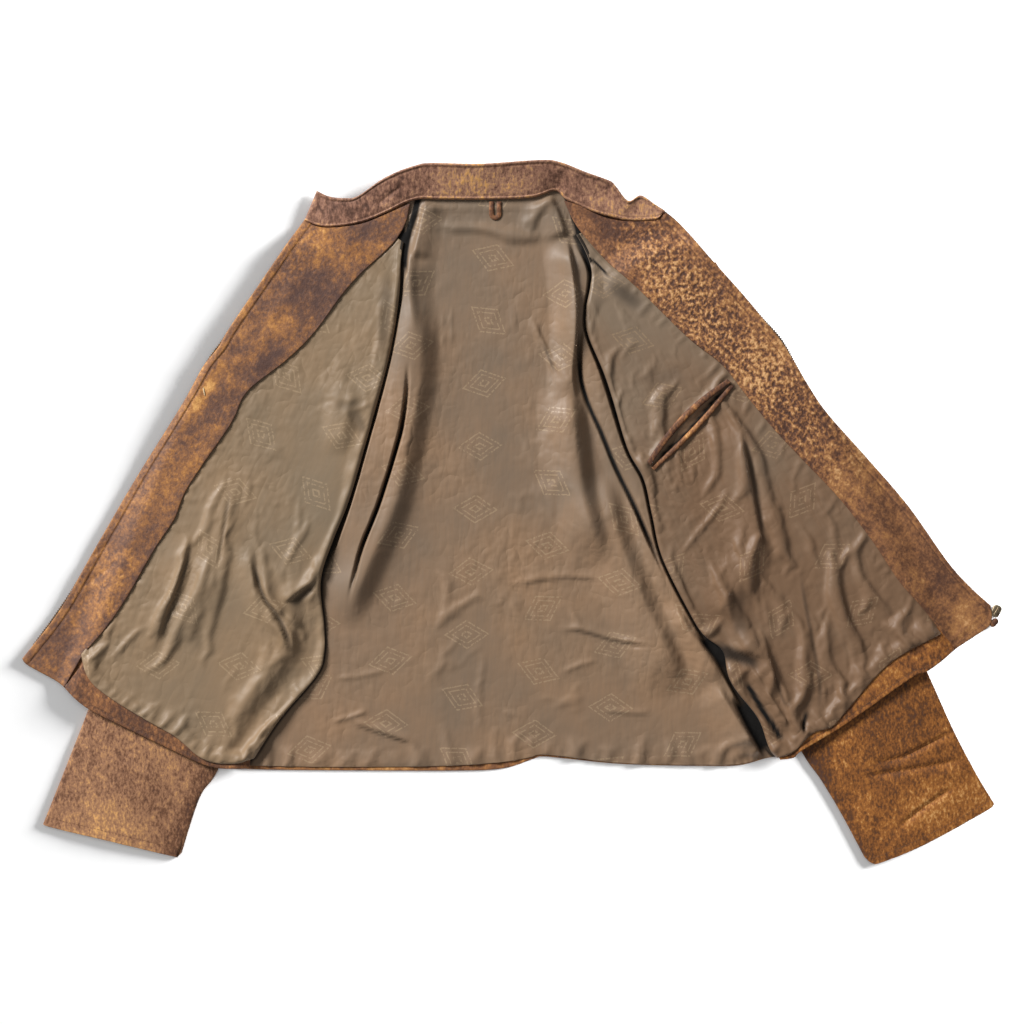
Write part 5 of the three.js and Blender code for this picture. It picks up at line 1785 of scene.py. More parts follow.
    def slack(self) -> SlackCloth:
        """The lining, relaxed into its folds, its wrinkles and the gathers along its seams."""
        share = np.linspace(0, 1, SEAM_STEPS)
        seam, foot, valley = self.seam.at(share), self.foot.at(share), Curve(self.side.valley).at(share)
        cloth = SlackCloth(np.concatenate([seam, foot[1:], valley[::-1]]), self.cloth_cell)
        x, y = cloth.x, cloth.y
        at_seam, _, seam_share = nearest(seam, x, y)
        at_hem, _, hem_share = nearest(foot, x, y)
        at_valley = nearest(valley, x, y)[0]
        fan = np.arctan2(y - self.pivot[1], x - self.pivot[0]) + self.stray * Ripple(self.seed + 3, 60.0).at(x, y)
        patchy = np.clip(0.6 + 1.5 * Ripple(self.seed + 4, 46.0).at(x, y), 0.05, None)
        low, high = self.fullness
        full = (low + (high - low) * smooth((self.fuller[0] - y) / self.fuller[1])) * patchy
        cloth.loosen(full, fan)
        cloth.loosen(self.crossed * full, fan + math.pi / 2)
        cloth.loosen(self.gathers[0] * bell(at_seam, 14), self.seam.turn(seam_share))
        cloth.loosen(self.gathers[1] * patchy * bell(at_hem, 16), self.foot.turn(hem_share))
        # The first shape: traced folds and the air under them, flat at the seams, and the puff over the turn-up.
        shape = folded(self.folds, x, y) + folded(self.creases, x, y)
        shape[2] += self.loft * smooth(at_seam / 30) * smooth((at_hem - 10) / 30)
        shape[2] += self.swell * (1 - smooth(at_valley / 26)) * smooth(at_seam / 20)
        shape *= smooth((at_seam - 0.3) / 7) * smooth(at_hem / 8)
        shape[:2] *= smooth(at_valley / 8)
        off_seam = smooth(at_seam / 10)
        shape[2] += (self.puff + self.spill) * smooth((26 - at_hem) / 17) * off_seam
        beside = ~cloth.free & (at_valley > np.minimum(at_seam, at_hem))
        shape[2] = np.where(beside, self.puff * off_seam * (at_hem < at_seam), shape[2])
        pressed = LEATHER + SATIN + CLEAR - LINING_LIE
        floor = np.where(at_hem < self.hem_tuck + 2, self.puff * off_seam, pressed)
        cloth.settle(shape, floor, self.seed)
        return cloth

    def build_lining(self) -> Object:
        """Builds the satin lining: its wrinkled middle, the roll over the valley and the puff over the hem."""
        v = spaced(self.lining_length, self.lining_cell, (0.0,), (0.0, 0.7, 1.6, 2.8, 4.2))
        first = self.seam.moved(v, -self.sign * self.tuck)
        second = Curve(self.side.valley).moved(v, -self.sign * self.gape(v))
        width = np.linalg.norm(second - first, axis=1)
        ends = tuple(np.linspace(0, 1, self.roll_columns) * self.roll)
        u = row_shares(width, (0.0, 2.5, 5.0, 6.4), ends, self.lining_columns)
        head = first[0] + (second[0] - first[0]) * u[0][:, None]
        foot = bent(self.foot.at(u[-1]), first[-1], second[-1])
        plan = patch(first, second, head, foot, u, v)
        x, y = plan[..., 0], plan[..., 1]
        base = self.drape.at(x, y)
        seam, valley, hem = edge_distance(plan, "w") - self.tuck, edge_distance(plan, "e"), edge_distance(plan, "s")
        # Wrinkles and ridges, parted by the slits; painted shade darkens the slits' floors and the edge at the valley.
        moves = self.slack().at(x, y)
        moves += folded(self.ridges, x, y) * smooth(seam / 8) * smooth((hem - 4) / 10)
        dark = valley_shade(self.side, v[:, None])
        painted_shade = dark * (1 - smooth((valley - 0.3 * self.roll) / (0.3 * self.roll)))
        for slit in self.slits:
            keep = slit.keep(x, y)
            moves[2] *= keep
            painted_shade = np.maximum(painted_shade, (1 - keep) ** SHADE_POWER)
        top = base + LINING_LIE + (self.drape.seam_lift(x, y) + moves[2]) * smooth((seam + 0.2) / 3)
        top = np.maximum(top, base + LEATHER + SATIN + CLEAR)
        # Over the turn-up the lining lies on the leather, and it goes under the facing at its seam.
        rest = base + TRIM_TOP + SATIN + GAP
        top = np.where(hem < self.hem_tuck, np.maximum(top, rest), top)
        top = np.where(hem < 6, rest + (top - rest) * rounding(hem, 5.0), top)
        top = np.where(seam < 0.3, base + LINING_LIE - 0.1, top)
        loose = smooth(seam / 3) * smooth(hem / 4) * smooth(valley / 8)
        plan = plan + np.moveaxis(moves[:2], 0, -1) * loose[..., None]
        plan, top = self.rolled(plan, top, valley)
        piece = make_cloth(f"lining_{self.name}", plan, top, SATIN, base * 0 + LEATHER, self.satin,
                           {"painted_shade": painted_shade})
        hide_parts(f"front_lining_{self.name}")
        self.lining = piece
        return piece

    def build_stitches(self, facing: Object, strip: Object) -> None:
        """Sews the rows beside the facing's edge, across its foot and along the hem."""
        sewing = Stitching(self.finishes.thread)
        plan, surface = self.facing_plan, Surface(facing)
        beside_band, beside_foot = 10, -6  # column and row of the facing's mesh
        rows = sewing.row(plan[6:-8, beside_band], surface)
        rows += sewing.row(plan[beside_foot, 4:-3], surface)
        along = np.linspace(0.01, 0.97, 80)
        rows += sewing.row(self.hem.moved(along, self.sign * self.hem_sewn), Surface(strip))
        sewing.make(f"front_stitches_{self.name}", rows)

    def build(self) -> None:
        """Builds every piece of the front."""
        self.build_shell()
        self.build_tape()
        self.build_teeth()
        self.facing = facing = self.build_facing()
        strip = self.build_turnup()
        self.build_lining()
        self.build_stitches(facing, strip)


@dataclass
class Sleeve:
    """One sleeve, a flattened tube of leather with an open cuff."""

    side: Outline
    creases: Sequence[Crease]
    rubs: Sequence[Rub]
    finishes: Finishes
    seed: int
    length: float = 655.0
    seen: float = 190.0  # length with a fine mesh
    fine: float = 2.2
    coarse: float = 9.0
    columns: int = 56
    rim: Sequence[float] = (0.0, 0.12, 0.45, 1.0, 1.8, 2.8)  # distances of the first columns from a folded side
    edge_lift: float = 1.9  # height of the folded sides
    inset: float = 2.6  # thickness of the wall at the sides
    sewn: float = 8.5  # distance of the stitches from the cuff
    sewn_column: int = 30  # where that distance is measured
    end_shares: tuple[float, float] = (0.85, 0.15)  # thickness at the cuff's edge, and what is added from there
    least_gap: float = 0.12
    flat: tuple[float, float] = (0.36, 0.67)

    def ring(self, plan: Array, top: Array, bottom: Array) -> Array:
        """Points of the tube's rings: over the top and back along the underside."""
        high = np.concatenate([plan, top[..., None]], axis=-1)
        low = np.concatenate([plan, bottom[..., None]], axis=-1)[:, -2:0:-1]
        return np.concatenate([high, low], axis=1)

    def build(self) -> Object:
        """Builds the tube with its wall, and its hem of stitches."""
        side, length = self.side, self.length
        coarse = np.arange(0, length - self.seen, self.coarse)
        fine = np.arange(length - self.seen, length, self.fine)
        v = np.unique(np.concatenate([coarse, fine, [length - distance for distance in RIM]])) / length
        outer = Curve(side.sleeve_outer).moved(v, side.hand.sign)
        inner = Curve(side.sleeve_inner).at(v)
        width = np.linalg.norm(inner - outer, axis=1)
        u = row_shares(width, self.rim, self.rim, self.columns)
        head = bent(Curve(side.sleeve_head).at(u[0]), outer[0], inner[0])
        cuff = bent(Curve(side.cuff).at(u[-1]), outer[-1], inner[-1])
        plan = patch(outer, inner, head, cuff, u, v)
        x, y = plan[..., 0], plan[..., 1]
        sides, end = edge_distance(plan, "we"), edge_distance(plan, "s")
        share = np.clip(edge_distance(plan, "w") / (edge_distance(plan, "w") + edge_distance(plan, "e")), 0, 1)
        crown = SLEEVE_TOP - SLEEVE_LOFT * (1 - 4 * share * (1 - share))
        # A flattened tube: crowned, creased where it shows, round at its folded sides and thin at its cuff.
        groove = bell(end - self.sewn, 1.0)
        relief = lifted(self.creases, x, y) + 0.9 * Ripple(self.seed, 30.0).at(x, y)
        relief = relief + 0.3 * Ripple(self.seed + 1, 9.0).at(x, y)
        relief = relief * smooth(sides / 6) - 0.35 * groove
        round_side = np.sqrt(1 - (1 - np.clip(sides / 3.0, 0, 1)) ** 2)
        thin = self.end_shares[0] + self.end_shares[1] * rounding(end, 1.2)
        hidden = smooth((y - (side.hem[3][1] - 10)) / 30)
        top = self.edge_lift + (crown - self.edge_lift + relief * (1 - hidden)) * round_side
        bottom = self.edge_lift * (1 - round_side)
        shrink = self.inset / width[:, None]
        tight = shrink + (1 - 2 * shrink) * u
        within = patch(outer, inner, head, cuff, tight, v)
        gap = np.maximum(top - bottom - 2 * LEATHER, self.least_gap)
        middle = (top + bottom) / 2
        outside = self.ring(plan, middle + (top - middle) * thin, middle + (bottom - middle) * thin)
        inside_ring = self.ring(within, middle + gap / 2, middle - gap / 2)
        # Its skin, its lined hollow, the lip of the cuff and the closed end under the front.
        rows, count = outside.shape[:2]
        points = np.concatenate([outside.reshape(-1, 3), inside_ring.reshape(-1, 3)])
        index = np.arange(rows * count).reshape(rows, count)
        wrap = np.roll(index, -1, axis=1)
        skin = np.stack([index[:-1], wrap[:-1], wrap[1:], index[1:]], axis=-1).reshape(-1, 4)
        hollow = skin[:, ::-1] + rows * count
        lip = np.stack([index[-1], wrap[-1], wrap[-1] + rows * count, index[-1] + rows * count], axis=-1)
        back = np.stack([wrap[0], index[0], index[0] + rows * count, wrap[0] + rows * count], axis=-1)
        faces = np.concatenate([skin, hollow, lip, back])
        turn = -1 if side.hand is Hand.LEFT else 1
        # The cuffs' rubs darken their inner edges, partly as painted shadow of the hem.
        worn = rubbed(self.rubs, x, y) + 0.25 * bell(end, 2.5) + 0.2 * bell(sides, 3.0)
        values = {}
        for key, grid in leather_values(worn, groove=np.clip(groove, 0, 1)).items():
            loop = np.concatenate([grid, grid[:, -2:0:-1]], axis=1).ravel()
            values[key] = np.tile(loop, 2)
        piece = make_object(f"sleeve_{side.hand.value}", points, faces[:, ::turn].tolist(),
                            self.finishes.sleeves[side.hand], values)
        piece.data.materials.append(self.finishes.satin_back)
        lined = np.repeat([0, 1, 0], [len(skin), len(hollow), len(lip) + len(back)])
        piece.data.polygons.foreach_set("material_index", lined)
        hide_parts(f"sleeve_top_{side.hand.value}", f"sleeve_under_{side.hand.value}")
        sewing = Stitching(self.finishes.thread)
        row = int(np.argmin(np.abs(end[:, self.sewn_column] - self.sewn)))
        sewing.make(f"cuff_stitches_{side.hand.value}", sewing.row(plan[row, 3:-3], Surface(piece)))
        return piece


@dataclass
class Collar:
    """The stand collar, which rises from the neck seam, most at the back."""

    finishes: Finishes
    rubs: Sequence[Rub]
    creases: Sequence[Crease]
    rise: float = 17.0  # height of the top edge at the back
    end_rise: float = 3.0  # height of the top edge at both ends
    runs: tuple[float, float] = (0.4, 0.35)
    band: float = 8.0  # width of the end bands
    sewn: tuple[float, float] = (3.4, 4.2)  # distances of the stitches from the seam and from the top
    seeds: tuple[int, int] = (61, 62)

    def build(self) -> Object:
        """Builds the band with its piped top edge, its end bands and its seam."""
        along = spaced(430.0, 2.2)
        across = spaced(40.0, 1.5, (0.0, 0.25, 0.7, 1.4, 2.1, 2.8, 3.6), (*RIM, 2.4, 3.2, 4.0))
        seam, top_line = Curve(COLLAR_SEAM).at(along), Curve(COLLAR_TOP).at(along)
        seam[:, 1] -= 1.0
        u = across[None, :, None]
        plan = seam[:, None] * (1 - u) + top_line[:, None] * u
        x, y = plan[..., 0], plan[..., 1]
        v, c = along[:, None], across[None, :]
        share = smooth(v / self.runs[0]) * smooth((1 - v) / self.runs[1])
        rise = self.end_rise + (self.rise - self.end_rise) * share
        under = GAP + rise * c + 2.5 * (1 - c) ** 2
        low, high, ends = edge_distance(plan, "w"), edge_distance(plan, "e"), edge_distance(plan, "ns")
        # Sewn grooves, piped edges, a padded and uneven middle, and creases.
        groove = bell(low - self.sewn[0], 0.8) + bell(high - self.sewn[1], 0.8) + bell(ends - self.band, 1.0)
        relief = 0.7 * bell(high - 1.8, 1.6) + 0.5 * bell(low - 1.4, 1.3) - 0.6 * np.clip(groove, 0, 1)
        soft, fine = (Ripple(seed, size).at(x, y) for seed, size in zip(self.seeds, (26.0, 9.0)))
        relief += 1.2 * np.sin(np.pi * np.clip(c, 0, 1)) * (0.4 + soft) + 0.4 * fine
        relief += lifted(self.creases, x, y)
        thick = 2 * LEATHER + GAP
        middle = under + thick / 2
        edge = rounding(edge_distance(plan), 2.0)
        half = thick / 2 * edge
        relief *= edge
        worn = rubbed(self.rubs, x, y) + 0.35 * bell(low - 1.4, 1.5) + 0.2 * bell(high, 2.5)
        values = leather_values(worn, 0.15, np.clip(groove, 0, 1))
        piece = make_sheet("collar", plan, middle + half + relief, middle - half, self.finishes.collar, values)
        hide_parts("collar_inner", "collar_outer")
        sewing = Stitching(self.finishes.thread)
        surface = Surface(piece)
        rows = []
        for distance, grid in zip(self.sewn, (low, high)):
            column = int(np.argmin(np.abs(grid[len(along) // 2] - distance)))
            rows += sewing.row(plan[5:-5, column], surface)
        sewing.make("collar_stitches", rows)
        return piece


@dataclass
class Back:
    """The back of the jacket: its leather and the satin lining that lies on it."""

    finishes: Finishes
    creases: Sequence[Crease]
    ridges: Sequence[Crease]
    slits: Sequence[Slit]
    under: float = 16.0  # width that lies under a front
    neck_under: float = 1.5  # the same of the leather at the neck
    lining_neck_under: float = 9.0  # the same of the lining
    neck_rise: float = 5.0  # how far it passes its neck line, under the collar
    edge_reach: float = 46.0  # width of the finer columns beside a valley
    neck_depth: float = 42.0
    length: float = 560.0
    plateau: float = 2.8  # height of the lining's air
    pressed: float = LEATHER + SATIN + 0.2  # least height of the lining
    seam_free: float = 2.2  # distance from a valley at which the lining is free to move
    neck_cover: float = 7.0  # width of the lining under the collar
    # Spacing of the rows and of the columns beside the valleys, and number of columns between those.
    leather_mesh: tuple[float, float, int] = (6.0, 6.0, 60)
    lining_mesh: tuple[float, float, int] = (2.7, 1.2, 110)
    cloth_cell: float = 2.4
    seed: int = 20
    # Heap beside each front: its height, the width of its top, the run of its side, and the share where it ends.
    heaps: Sequence[Sequence[float]] = ((7.5, 8.0, 30.0, 0.52), (8.0, 7.0, 26.0, 0.93))
    heap_runs: tuple[float, float] = (0.06, 0.1)

    def plan(self, hem: Points, neck: Points, neck_under: float, step: float, edge_step: float,
             middle: int) -> tuple[Array, Array]:
        """Plan points of a layer of the back.

        Args:
            hem: Points of its lower edge.
            neck: Points of its upper edge.
            neck_under: Width that lies under a front at the neck.
            step: Spacing of the rows.
            edge_step: Spacing of the columns beside the valleys.
            middle: Number of columns between those.

        Returns:
            The points and their distances from the left valley, by row and column.
        """
        v = spaced(self.length, step, (0.0,), (0.0, 0.5, 1.2, 2.4))
        left, right = (Curve(side.valley).at(v) for side in (LEFT, RIGHT))
        reach = neck_under + (self.under - neck_under) * smooth(v / SET_BACK_RUN)
        wide = np.linalg.norm(right - left, axis=1)
        along = (right - left) / wide[:, None]
        covered = np.array([-1.0, -0.66, -0.33])
        near = np.arange(0.0, self.edge_reach, edge_step)
        even = np.linspace(0, 1, middle + 2)[None, 1:-1]
        inner = near[-1] + (wide[:, None] - 2 * near[-1]) * even
        left_runs = np.concatenate([covered[None] * reach[:, None], near[None] + 0 * wide[:, None]], axis=1)
        runs = np.concatenate([left_runs, inner, wide[:, None] - left_runs[:, ::-1]], axis=1)
        rows = left[:, None] + along[:, None] * runs[..., None]
        share = (runs - runs[:, :1]) / (runs[:, -1:] - runs[:, :1])
        foot = Curve(hem).at(share[-1])
        rows = rows + (foot - rows[-1]) * (v[:, None, None] ** 8)
        head = Curve(neck).moved(share[0], self.neck_rise)
        up = 1 - spaced(self.neck_depth, step, (0.0, 0.5, 1.2, 2.4), (0.0,))[:-1, None, None]
        every_run = np.concatenate([np.repeat(runs[:1], len(up), axis=0), runs])
        return np.concatenate([rows[0] + (head - rows[0]) * up, rows]), every_run

    def build_leather(self) -> Object:
        """Builds the leather of the back, which shows along the hem and from below."""
        plan, _ = self.plan(BACK_HEM, BACK_NECK, self.neck_under, *self.leather_mesh)
        x, y = plan[..., 0], plan[..., 1]
        half = LEATHER / 2 * rounding(edge_distance(plan), 1.2)
        values = leather_values(0.7 * Ripple(self.seed + 11, 60.0).at(x, y) + 0.3)
        piece = make_sheet("back_leather", plan, LEATHER / 2 + half, LEATHER / 2 - half, self.finishes.shell, values)
        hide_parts("back_shell")
        return piece

    def slack(self) -> SlackCloth:
        """The lining, relaxed into its folds and wrinkles, with its loose strips beside both fronts."""
        share = np.linspace(0, 1, SEAM_STEPS)
        left, right = (Curve(side.valley).at(share) for side in (LEFT, RIGHT))
        hem, neck = Curve(BACK_LINING_HEM).at(share), Curve(BACK_NECK).at(share)
        between = (hem[:, 0] > left[-1, 0]) & (hem[:, 0] < right[-1, 0])
        cloth = SlackCloth(np.concatenate([left, hem[between], right[::-1], neck[::-1]]), self.cloth_cell)
        x, y = cloth.x, cloth.y
        valley = np.minimum(nearest(left, x, y)[0], nearest(right, x, y)[0])
        at_hem, at_neck = nearest(hem, x, y)[0], nearest(neck, x, y)[0]
        cloth.free &= valley > self.seam_free
        sizes = (60.0, 90.0, 60.0, 50.0, 22.0)
        spots, fan, stray, swell, ripple = (Ripple(self.seed + 1 + k, size).at(x, y) for k, size in enumerate(sizes))
        patchy = np.clip(0.5 + 1.6 * spots, 0.05, None)
        cloth.loosen((0.006 + 0.016 * smooth((60 - y) / 200)) * patchy, math.pi * fan)
        cloth.loosen(0.006 * patchy[::-1, ::-1], math.pi / 2 + 0.6 * stray)
        cloth.loosen(0.09 * bell(at_hem, 12), np.full_like(x, math.pi / 2))
        shape = 1.35 * folded(self.creases, x, y)
        shape[2] += self.plateau * smooth(valley / 60) + 2.2 * swell + ripple
        held = smooth((valley - self.seam_free) / 5) * smooth((at_neck - 3) / 7)
        shape *= held * (0.25 + 0.75 * smooth(at_hem / 16)) * cloth.free
        cloth.settle(shape, np.full_like(x, self.pressed - BACK_TOP), self.seed)
        return cloth

    def build_lining(self) -> Object:
        """Builds the satin lining of the back, heaped up beside both fronts and parted by narrow slits, with painted
        shade at their floors.
        """
        plan, runs = self.plan(BACK_LINING_HEM, LINING_NECK, self.lining_neck_under, *self.lining_mesh)
        x, y = plan[..., 0], plan[..., 1]
        hidden = (runs < 0) | (runs > runs[:, -1:] + runs[:, :1])
        neck, hem = edge_distance(plan, "n"), edge_distance(plan, "s")
        moves = self.slack().at(x, y)
        # The strips hidden under the fronts are painted fully in shade.
        lift, keep, painted_shade = lifted(self.ridges, x, y), np.ones_like(x), 1.0 * hidden
        # Heaps beside both fronts, and painted shade on the floors of the valleys and the slits.
        for side, (height, flat, run, end) in zip((LEFT, RIGHT), self.heaps):
            valley, _, share = nearest(Curve(side.valley).at(np.linspace(0, 1, SEAM_STEPS)), x, y)
            length = smooth(share / self.heap_runs[0]) * (1 - smooth((share - end) / self.heap_runs[1]))
            lift += height * length * (1 - smooth((valley - flat) / run))
            keep *= smooth((valley - 1.2) / 2.4)
            painted_shade = np.maximum(painted_shade, valley_shade(side, share) * (1 - smooth((valley - 0.6) / 2.4)))
        for slit in self.slits:
            parted = slit.keep(x, y)
            keep *= parted
            painted_shade = np.maximum(painted_shade, (1 - parted) ** SHADE_POWER)
        lift *= smooth((neck - self.neck_cover) / 5) * smooth(hem / 12)
        top = np.maximum(BACK_TOP - 0.2 + moves[2] + lift * keep, self.pressed)
        top = np.where(hidden | (neck < self.neck_cover), LEATHER + SATIN + CLEAR, top)
        loose = ~hidden * smooth(hem / 4) * smooth((neck - 6) / 6)
        plan = plan + np.moveaxis(moves[:2], 0, -1) * loose[..., None]
        piece = make_cloth("lining_back", plan, top, SATIN, 0 * top + LEATHER + 0.1, self.finishes.satin_back,
                           {"painted_shade": painted_shade})
        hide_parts("back_lining")
        return piece


@dataclass
class HangerLoop:
    """The leather loop at the back neck: a strap sewn down at both ends."""

    finishes: Finishes
    x: float = -18.0
    head: float = 325.0
    depth: float = 17.0
    apart: float = 8.0
    strap: float = 5.0
    thick: float = 1.5
    corners: int = 12
    wear: float = -0.25

    def build(self, lining: Object) -> Object:
        """Builds the strap along its U, lying on the lining."""
        turn = np.linspace(math.pi, 2 * math.pi, 17)
        radius, low = self.apart / 2, self.head - self.depth + self.apart / 2
        legs = np.linspace(self.head, low, 8)[:-1]
        path = np.array([(self.x - radius, y) for y in legs]
                        + [(self.x + radius * math.cos(t), low + radius * math.sin(t)) for t in turn]
                        + [(self.x + radius, y) for y in legs[::-1]])
        heights = Surface(lining).height(path)
        height = np.maximum(np.convolve(np.pad(heights, 3, "edge"), np.ones(7) / 7, "valid"), heights) + CLEAR
        along = np.gradient(path, axis=0)
        along /= np.linalg.norm(along, axis=1, keepdims=True)
        across = np.stack([-along[:, 1], along[:, 0]], axis=1)
        angles = np.arange(self.corners) / self.corners * 2 * math.pi
        profile = [(math.cos(a) * self.strap / 2, math.sin(a) * self.thick / 2) for a in angles]
        rings = [np.array([(*(p + n * max(w, -radius * 0.8)), z + self.thick / 2 + h) for w, h in profile])
                 for p, n, z in zip(path, across, height)]
        points, faces = loft(rings)
        values = leather_values(np.full(len(points), self.wear))
        piece = make_object("neck_loop", points, faces, self.finishes.trim, values)
        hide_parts("hanger_loop")
        return piece


@dataclass
class Pocket:
    """The inner pocket of the right front: two padded welts beside its slit."""

    finishes: Finishes
    columns: int = 11
    cell: float = 1.7
    sink: float = 1.4  # depth of the welts' underside below the lining's top
    lift: float = 0.5  # height of their edges above it

    def welt(self, name: str, start: Sequence[float], end: Sequence[float], width: float, bow: float, tall: float,
             wear: float, surface: Surface, seed: int) -> Object:
        """Builds one welt along its line on the lining.

        Args:
            name: The node that it stands for.
            start: Plan point of its upper end.
            end: Plan point of its lower end.
            width: Its width.
            bow: How far its middle bows to the upper left.
            tall: Height of its crown.
            wear: How tan its middle is rubbed.
            surface: The lining under it.
            seed: Seed of its unevenness.

        Returns:
            The new object.
        """
        a, b = np.asarray(start, float), np.asarray(end, float)
        along = (b - a) / np.linalg.norm(b - a)
        across = np.array([along[1], -along[0]])
        t = spaced(float(np.linalg.norm(b - a)), self.cell)
        line = a + (b - a) * t[:, None] + across * (bow * np.sin(np.pi * t))[:, None]
        u = np.linspace(-1, 1, self.columns)
        half = width / 2 * (0.72 + 0.28 * np.sqrt(np.sin(np.pi * np.clip(t, 0.02, 0.98))))
        plan = line[:, None] + across * (u[None] * half[:, None])[..., None]
        x, y = plan[..., 0], plan[..., 1]
        # The welt rests on the highest cloth beside and under it, evened out along its length.
        rest = np.max([surface.height(line + across * d * width / 2) for d in (-1.2, -0.6, 0, 0.6, 1.2)], axis=0)
        rest = np.max([np.roll(rest, k) for k in range(-3, 4)], axis=0)
        rest = np.convolve(np.pad(rest, 6, "edge"), np.ones(13) / 13, "valid")[:, None]
        crown = np.sqrt(np.maximum(1 - u[None] ** 2, 0)) * (tall + 0.9 * Ripple(seed, 7.0).at(x, y))
        ends = np.sqrt(np.clip(np.sin(np.pi * t), 0, 1))[:, None]
        top, bottom = rest + self.lift + crown * ends, rest - self.sink + 0 * crown
        worn = wear * bell(t - 0.55, 0.3)[:, None] * (0.7 + Ripple(seed + 1, 9.0).at(x, y)) - 0.3
        values = leather_values(worn, groove=np.abs(u[None]) ** 6)
        piece = make_sheet(f"{name}_padded", plan, top, bottom, self.finishes.trim, values)
        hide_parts(name)
        return piece

    def build(self, lining: Object) -> None:
        """Builds both welts on the right front's lining."""
        surface = Surface(lining)
        self.welt("pocket_welt_upper", (226, 136.5), (142, 50), width=6.8, bow=7.0, tall=1.7, wear=0.4,
                  surface=surface, seed=81)
        self.welt("pocket_welt_lower", (229.5, 132), (146.5, 44.5), width=5.6, bow=-3.0, tall=2.0, wear=1.4,
                  surface=surface, seed=84)


@dataclass
class ZipEnd:
    """The zip's slider and stop at the foot of the right front edge."""

    finishes: Finishes
    x: float = 508.0
    y: float = -110.0
    angle: float = 62.0  # turn of the slider in plan
    end_angle: float = 48.0
    wear: float = -0.45
    corners: int = 20
    rings: int = 11
    ring_reach: float = 0.98

    def blob(self, centre: Sequence[float], sizes: Sequence[float], angle: float,
             power: float = 2.6) -> tuple[Array, list]:
        """A rounded block.

        Args:
            centre: Its middle.
            sizes: Half its length, half its width and half its height.
            angle: Its turn in plan, in degrees.
            power: How square its outline is.

        Returns:
            Its points and faces.
        """
        turn = np.arange(self.corners) / self.corners * 2 * math.pi
        c, s = math.cos(math.radians(angle)), math.sin(math.radians(angle))
        rings = []
        for t in np.linspace(-self.ring_reach, self.ring_reach, self.rings):
            size = (1 - abs(t) ** power) ** (1 / power)
            px = np.sign(np.cos(turn)) * np.abs(np.cos(turn)) ** (2 / power) * sizes[0] * size
            py = np.sign(np.sin(turn)) * np.abs(np.sin(turn)) ** (2 / power) * sizes[1] * size
            rings.append(np.stack([centre[0] + px * c - py * s, centre[1] + px * s + py * c,
                                   np.full(self.corners, centre[2] + t * sizes[2])], axis=1))
        return loft(rings)

    def build(self) -> None:
        """Builds the slider with its two plates and bridge, and the leather end below it."""
        x, y = self.x, self.y
        px, py = x - 1.0, y + 5.5  # middle of the plates
        plates = [self.blob((px, py, z), (6.6, 4.6, 0.75), self.angle, 3.2) for z in (1.3, 4.0)]
        neck = self.blob((x - 0.2, y + 8.0, 2.7), (2.0, 1.6, 1.6), self.angle)
        arch = [(px + d * 0.47, py + d * 0.88, 4.9 + 0.9 * (1 - (d / 3.5) ** 2))
                for d in (-3.5, -2.3, -1.1, 0.0, 1.1, 2.3, 3.5)]
        bridge = [self.blob(place, (1.2, 1.1, 0.7), self.angle) for place in arch]
        piece = make_bodies("zip_slider", [*plates, neck, *bridge], self.finishes.slider)
        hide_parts("zip_end_right")
        points, faces = self.blob((x - 3.0, y - 6.5, 2.6), (5.2, 3.4, 2.2), self.end_angle)
        values = leather_values(np.full(len(points), self.wear))
        end = make_object("zip_end_leather", points, faces, self.finishes.trim, values)


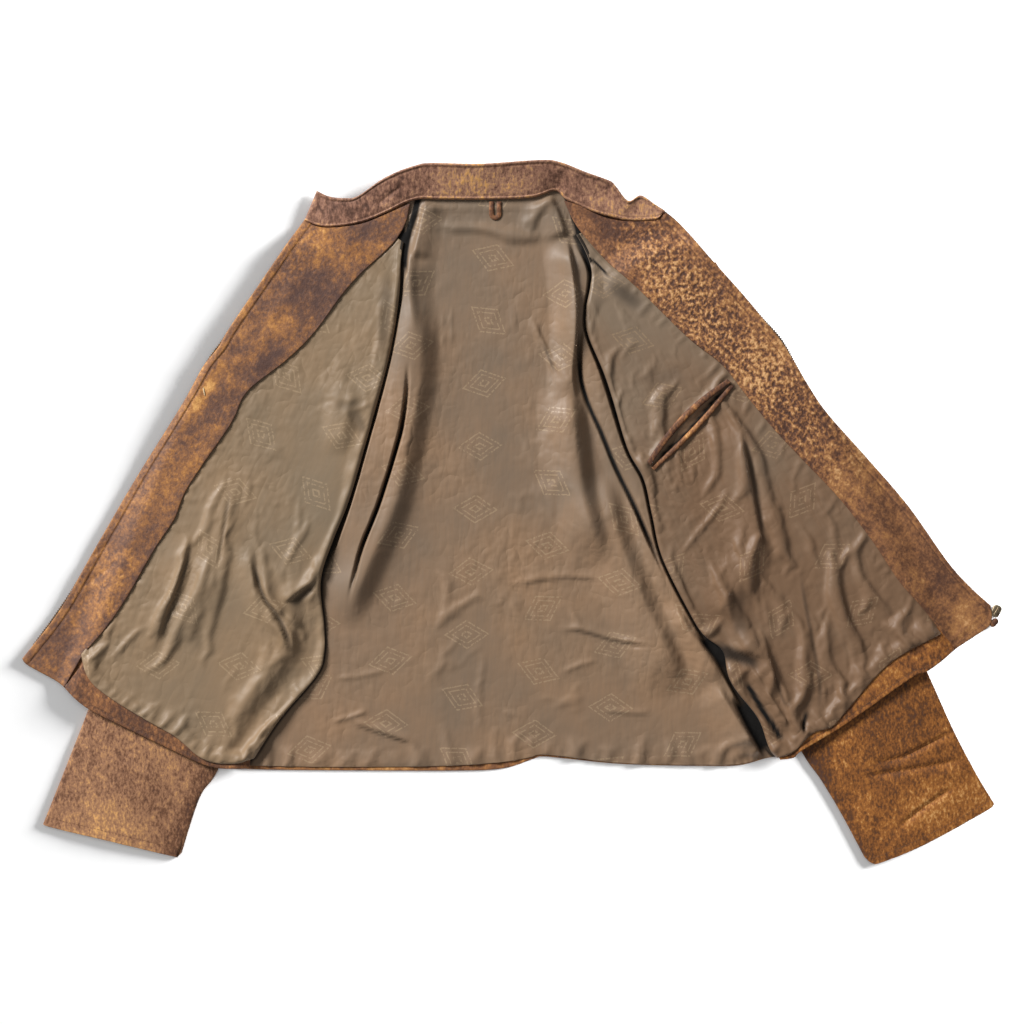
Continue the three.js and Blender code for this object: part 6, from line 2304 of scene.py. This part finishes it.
@dataclass
class Studio:
    """The pale floor, the soft light and the camera straight above."""

    height: float = 2.2  # of the camera, in metres like the rest of the stage
    frame_width: float = 1.0752
    sensor: float = 36.0
    offset: float = -0.0005  # of the picture's middle from the jacket's frame
    floor_half: float = 6.0
    floor_drop: float = 0.0005
    ambient: float = 0.26

    def build(self) -> None:
        """Builds the floor, the lights and the camera."""
        scene = bpy.context.scene
        scene.view_settings.view_transform = "Standard"
        floor_mesh = bpy.data.meshes.new("floor")
        corners = [(self.floor_half * a, self.floor_half * b, 0) for a, b in ((-1, -1), (1, -1), (1, 1), (-1, 1))]
        floor_mesh.from_pydata(corners, [], [(0, 1, 2, 3)])
        floor = bpy.data.objects.new("floor", floor_mesh)
        floor.location.z = -self.floor_drop
        scene.collection.objects.link(floor)
        material, graph, shader = new_material("floor_paper")
        tooth = graph.noise(graph.turned(0.0), 40.0)
        stops = ((0.3, (0.93, 0.93, 0.93)), (0.7, (0.95, 0.95, 0.95)))
        graph.put(shader.inputs["Base Color"], graph.ramp(tooth, stops))
        shader.inputs["Roughness"].default_value = 0.9
        floor_mesh.materials.append(material)
        world = bpy.data.worlds.new("studio")
        world.use_nodes = True
        sky = world.node_tree.nodes["Background"]
        sky.inputs["Color"].default_value = (1.0, 1.0, 1.0, 1.0)
        sky.inputs["Strength"].default_value = self.ambient
        scene.world = world
        stage = bpy.data.collections.new("stage")
        stage.objects.link(floor)
        self.light("key", (-3.6, 3.0, 2.9), 1.7, 500.0, JACKET)
        self.light("floor_light", (3.6, 1.5, 1.05), 1.5, 600.0, stage)
        self.light("floor_fill", (-0.6, 0.4, 3.0), 3.0, 32.0, stage)
        data = bpy.data.cameras.new("camera")
        data.sensor_width = self.sensor
        data.lens = self.sensor * self.height / self.frame_width
        camera = bpy.data.objects.new("camera", data)
        camera.location = (self.offset, self.offset, self.height)
        scene.collection.objects.link(camera)
        scene.camera = camera

    def light(self, name: str, place: Sequence[float], size: float, power: float, lit: bpy.types.Collection) -> None:
        """Adds a soft light that faces the jacket.

        Args:
            name: Its name.
            place: Where it stands, in metres.
            size: Its width.
            power: Its power in watts.
            lit: What it lights.
        """
        data = bpy.data.lights.new(name, "AREA")
        data.size = size
        data.energy = power
        lamp = bpy.data.objects.new(name, data)
        lamp.location = place
        lamp.rotation_euler = (-Vector(place)).to_track_quat("-Z", "Y").to_euler()
        lamp.light_linking.receiver_collection = lit
        bpy.context.scene.collection.objects.link(lamp)


def main() -> None:
    """Builds the jacket's pieces in order and reports each."""
    logging.basicConfig(level=logging.INFO, format="%(name)s %(message)s")
    bpy.context.scene.collection.children.link(JACKET)
    Studio().build()
    finishes = make_finishes()
    for side, seed in ((LEFT, 41), (RIGHT, 45)):
        hand = side.hand
        Sleeve(side, CUFF_CREASES[hand], CUFF_RUBS_AND_SHADOWS[hand], finishes, seed).build()
    back = Back(finishes, BACK_CREASES, BACK_RIDGES, BACK_SLITS)
    back.build_leather()
    lining = back.build_lining()
    HangerLoop(finishes).build(lining)
    left = Front(LEFT, LEFT_CREASES, LEFT_FOLDS, LEFT_FACING_CREASES, LEFT_RUBS, LEFT_PEBBLES, LEFT_REVEALS,
                 LEFT_GAPES, LEFT_RIDGES, LEFT_SLITS, pivot=(-192, 390), fullness=(0.012, 0.04),
                 facing_material=finishes.facing_left, satin=finishes.satin_left, finishes=finishes, seed=101)
    left.build()
    tack = Stitching(finishes.tack, radius=0.8)
    tack.make("facing_tack", [tack.bar(*Surface(left.facing).lay(np.array(TACK_ENDS)))])
    right = Front(RIGHT, RIGHT_CREASES, RIGHT_FOLDS, RIGHT_FACING_CREASES, RIGHT_RUBS, RIGHT_PEBBLES, RIGHT_REVEALS,
                  RIGHT_GAPES, RIGHT_RIDGES, RIGHT_SLITS, pivot=(197, 400), fullness=(0.05, 0.1),
                  facing_material=finishes.facing_right, satin=finishes.shaded_satin_right, finishes=finishes, seed=201)
    right.build()
    Pocket(finishes).build(right.lining)
    ZipEnd(finishes).build()
    Collar(finishes, COLLAR_RUBS, COLLAR_CREASES).build()


if __name__ == "__main__":
    main()
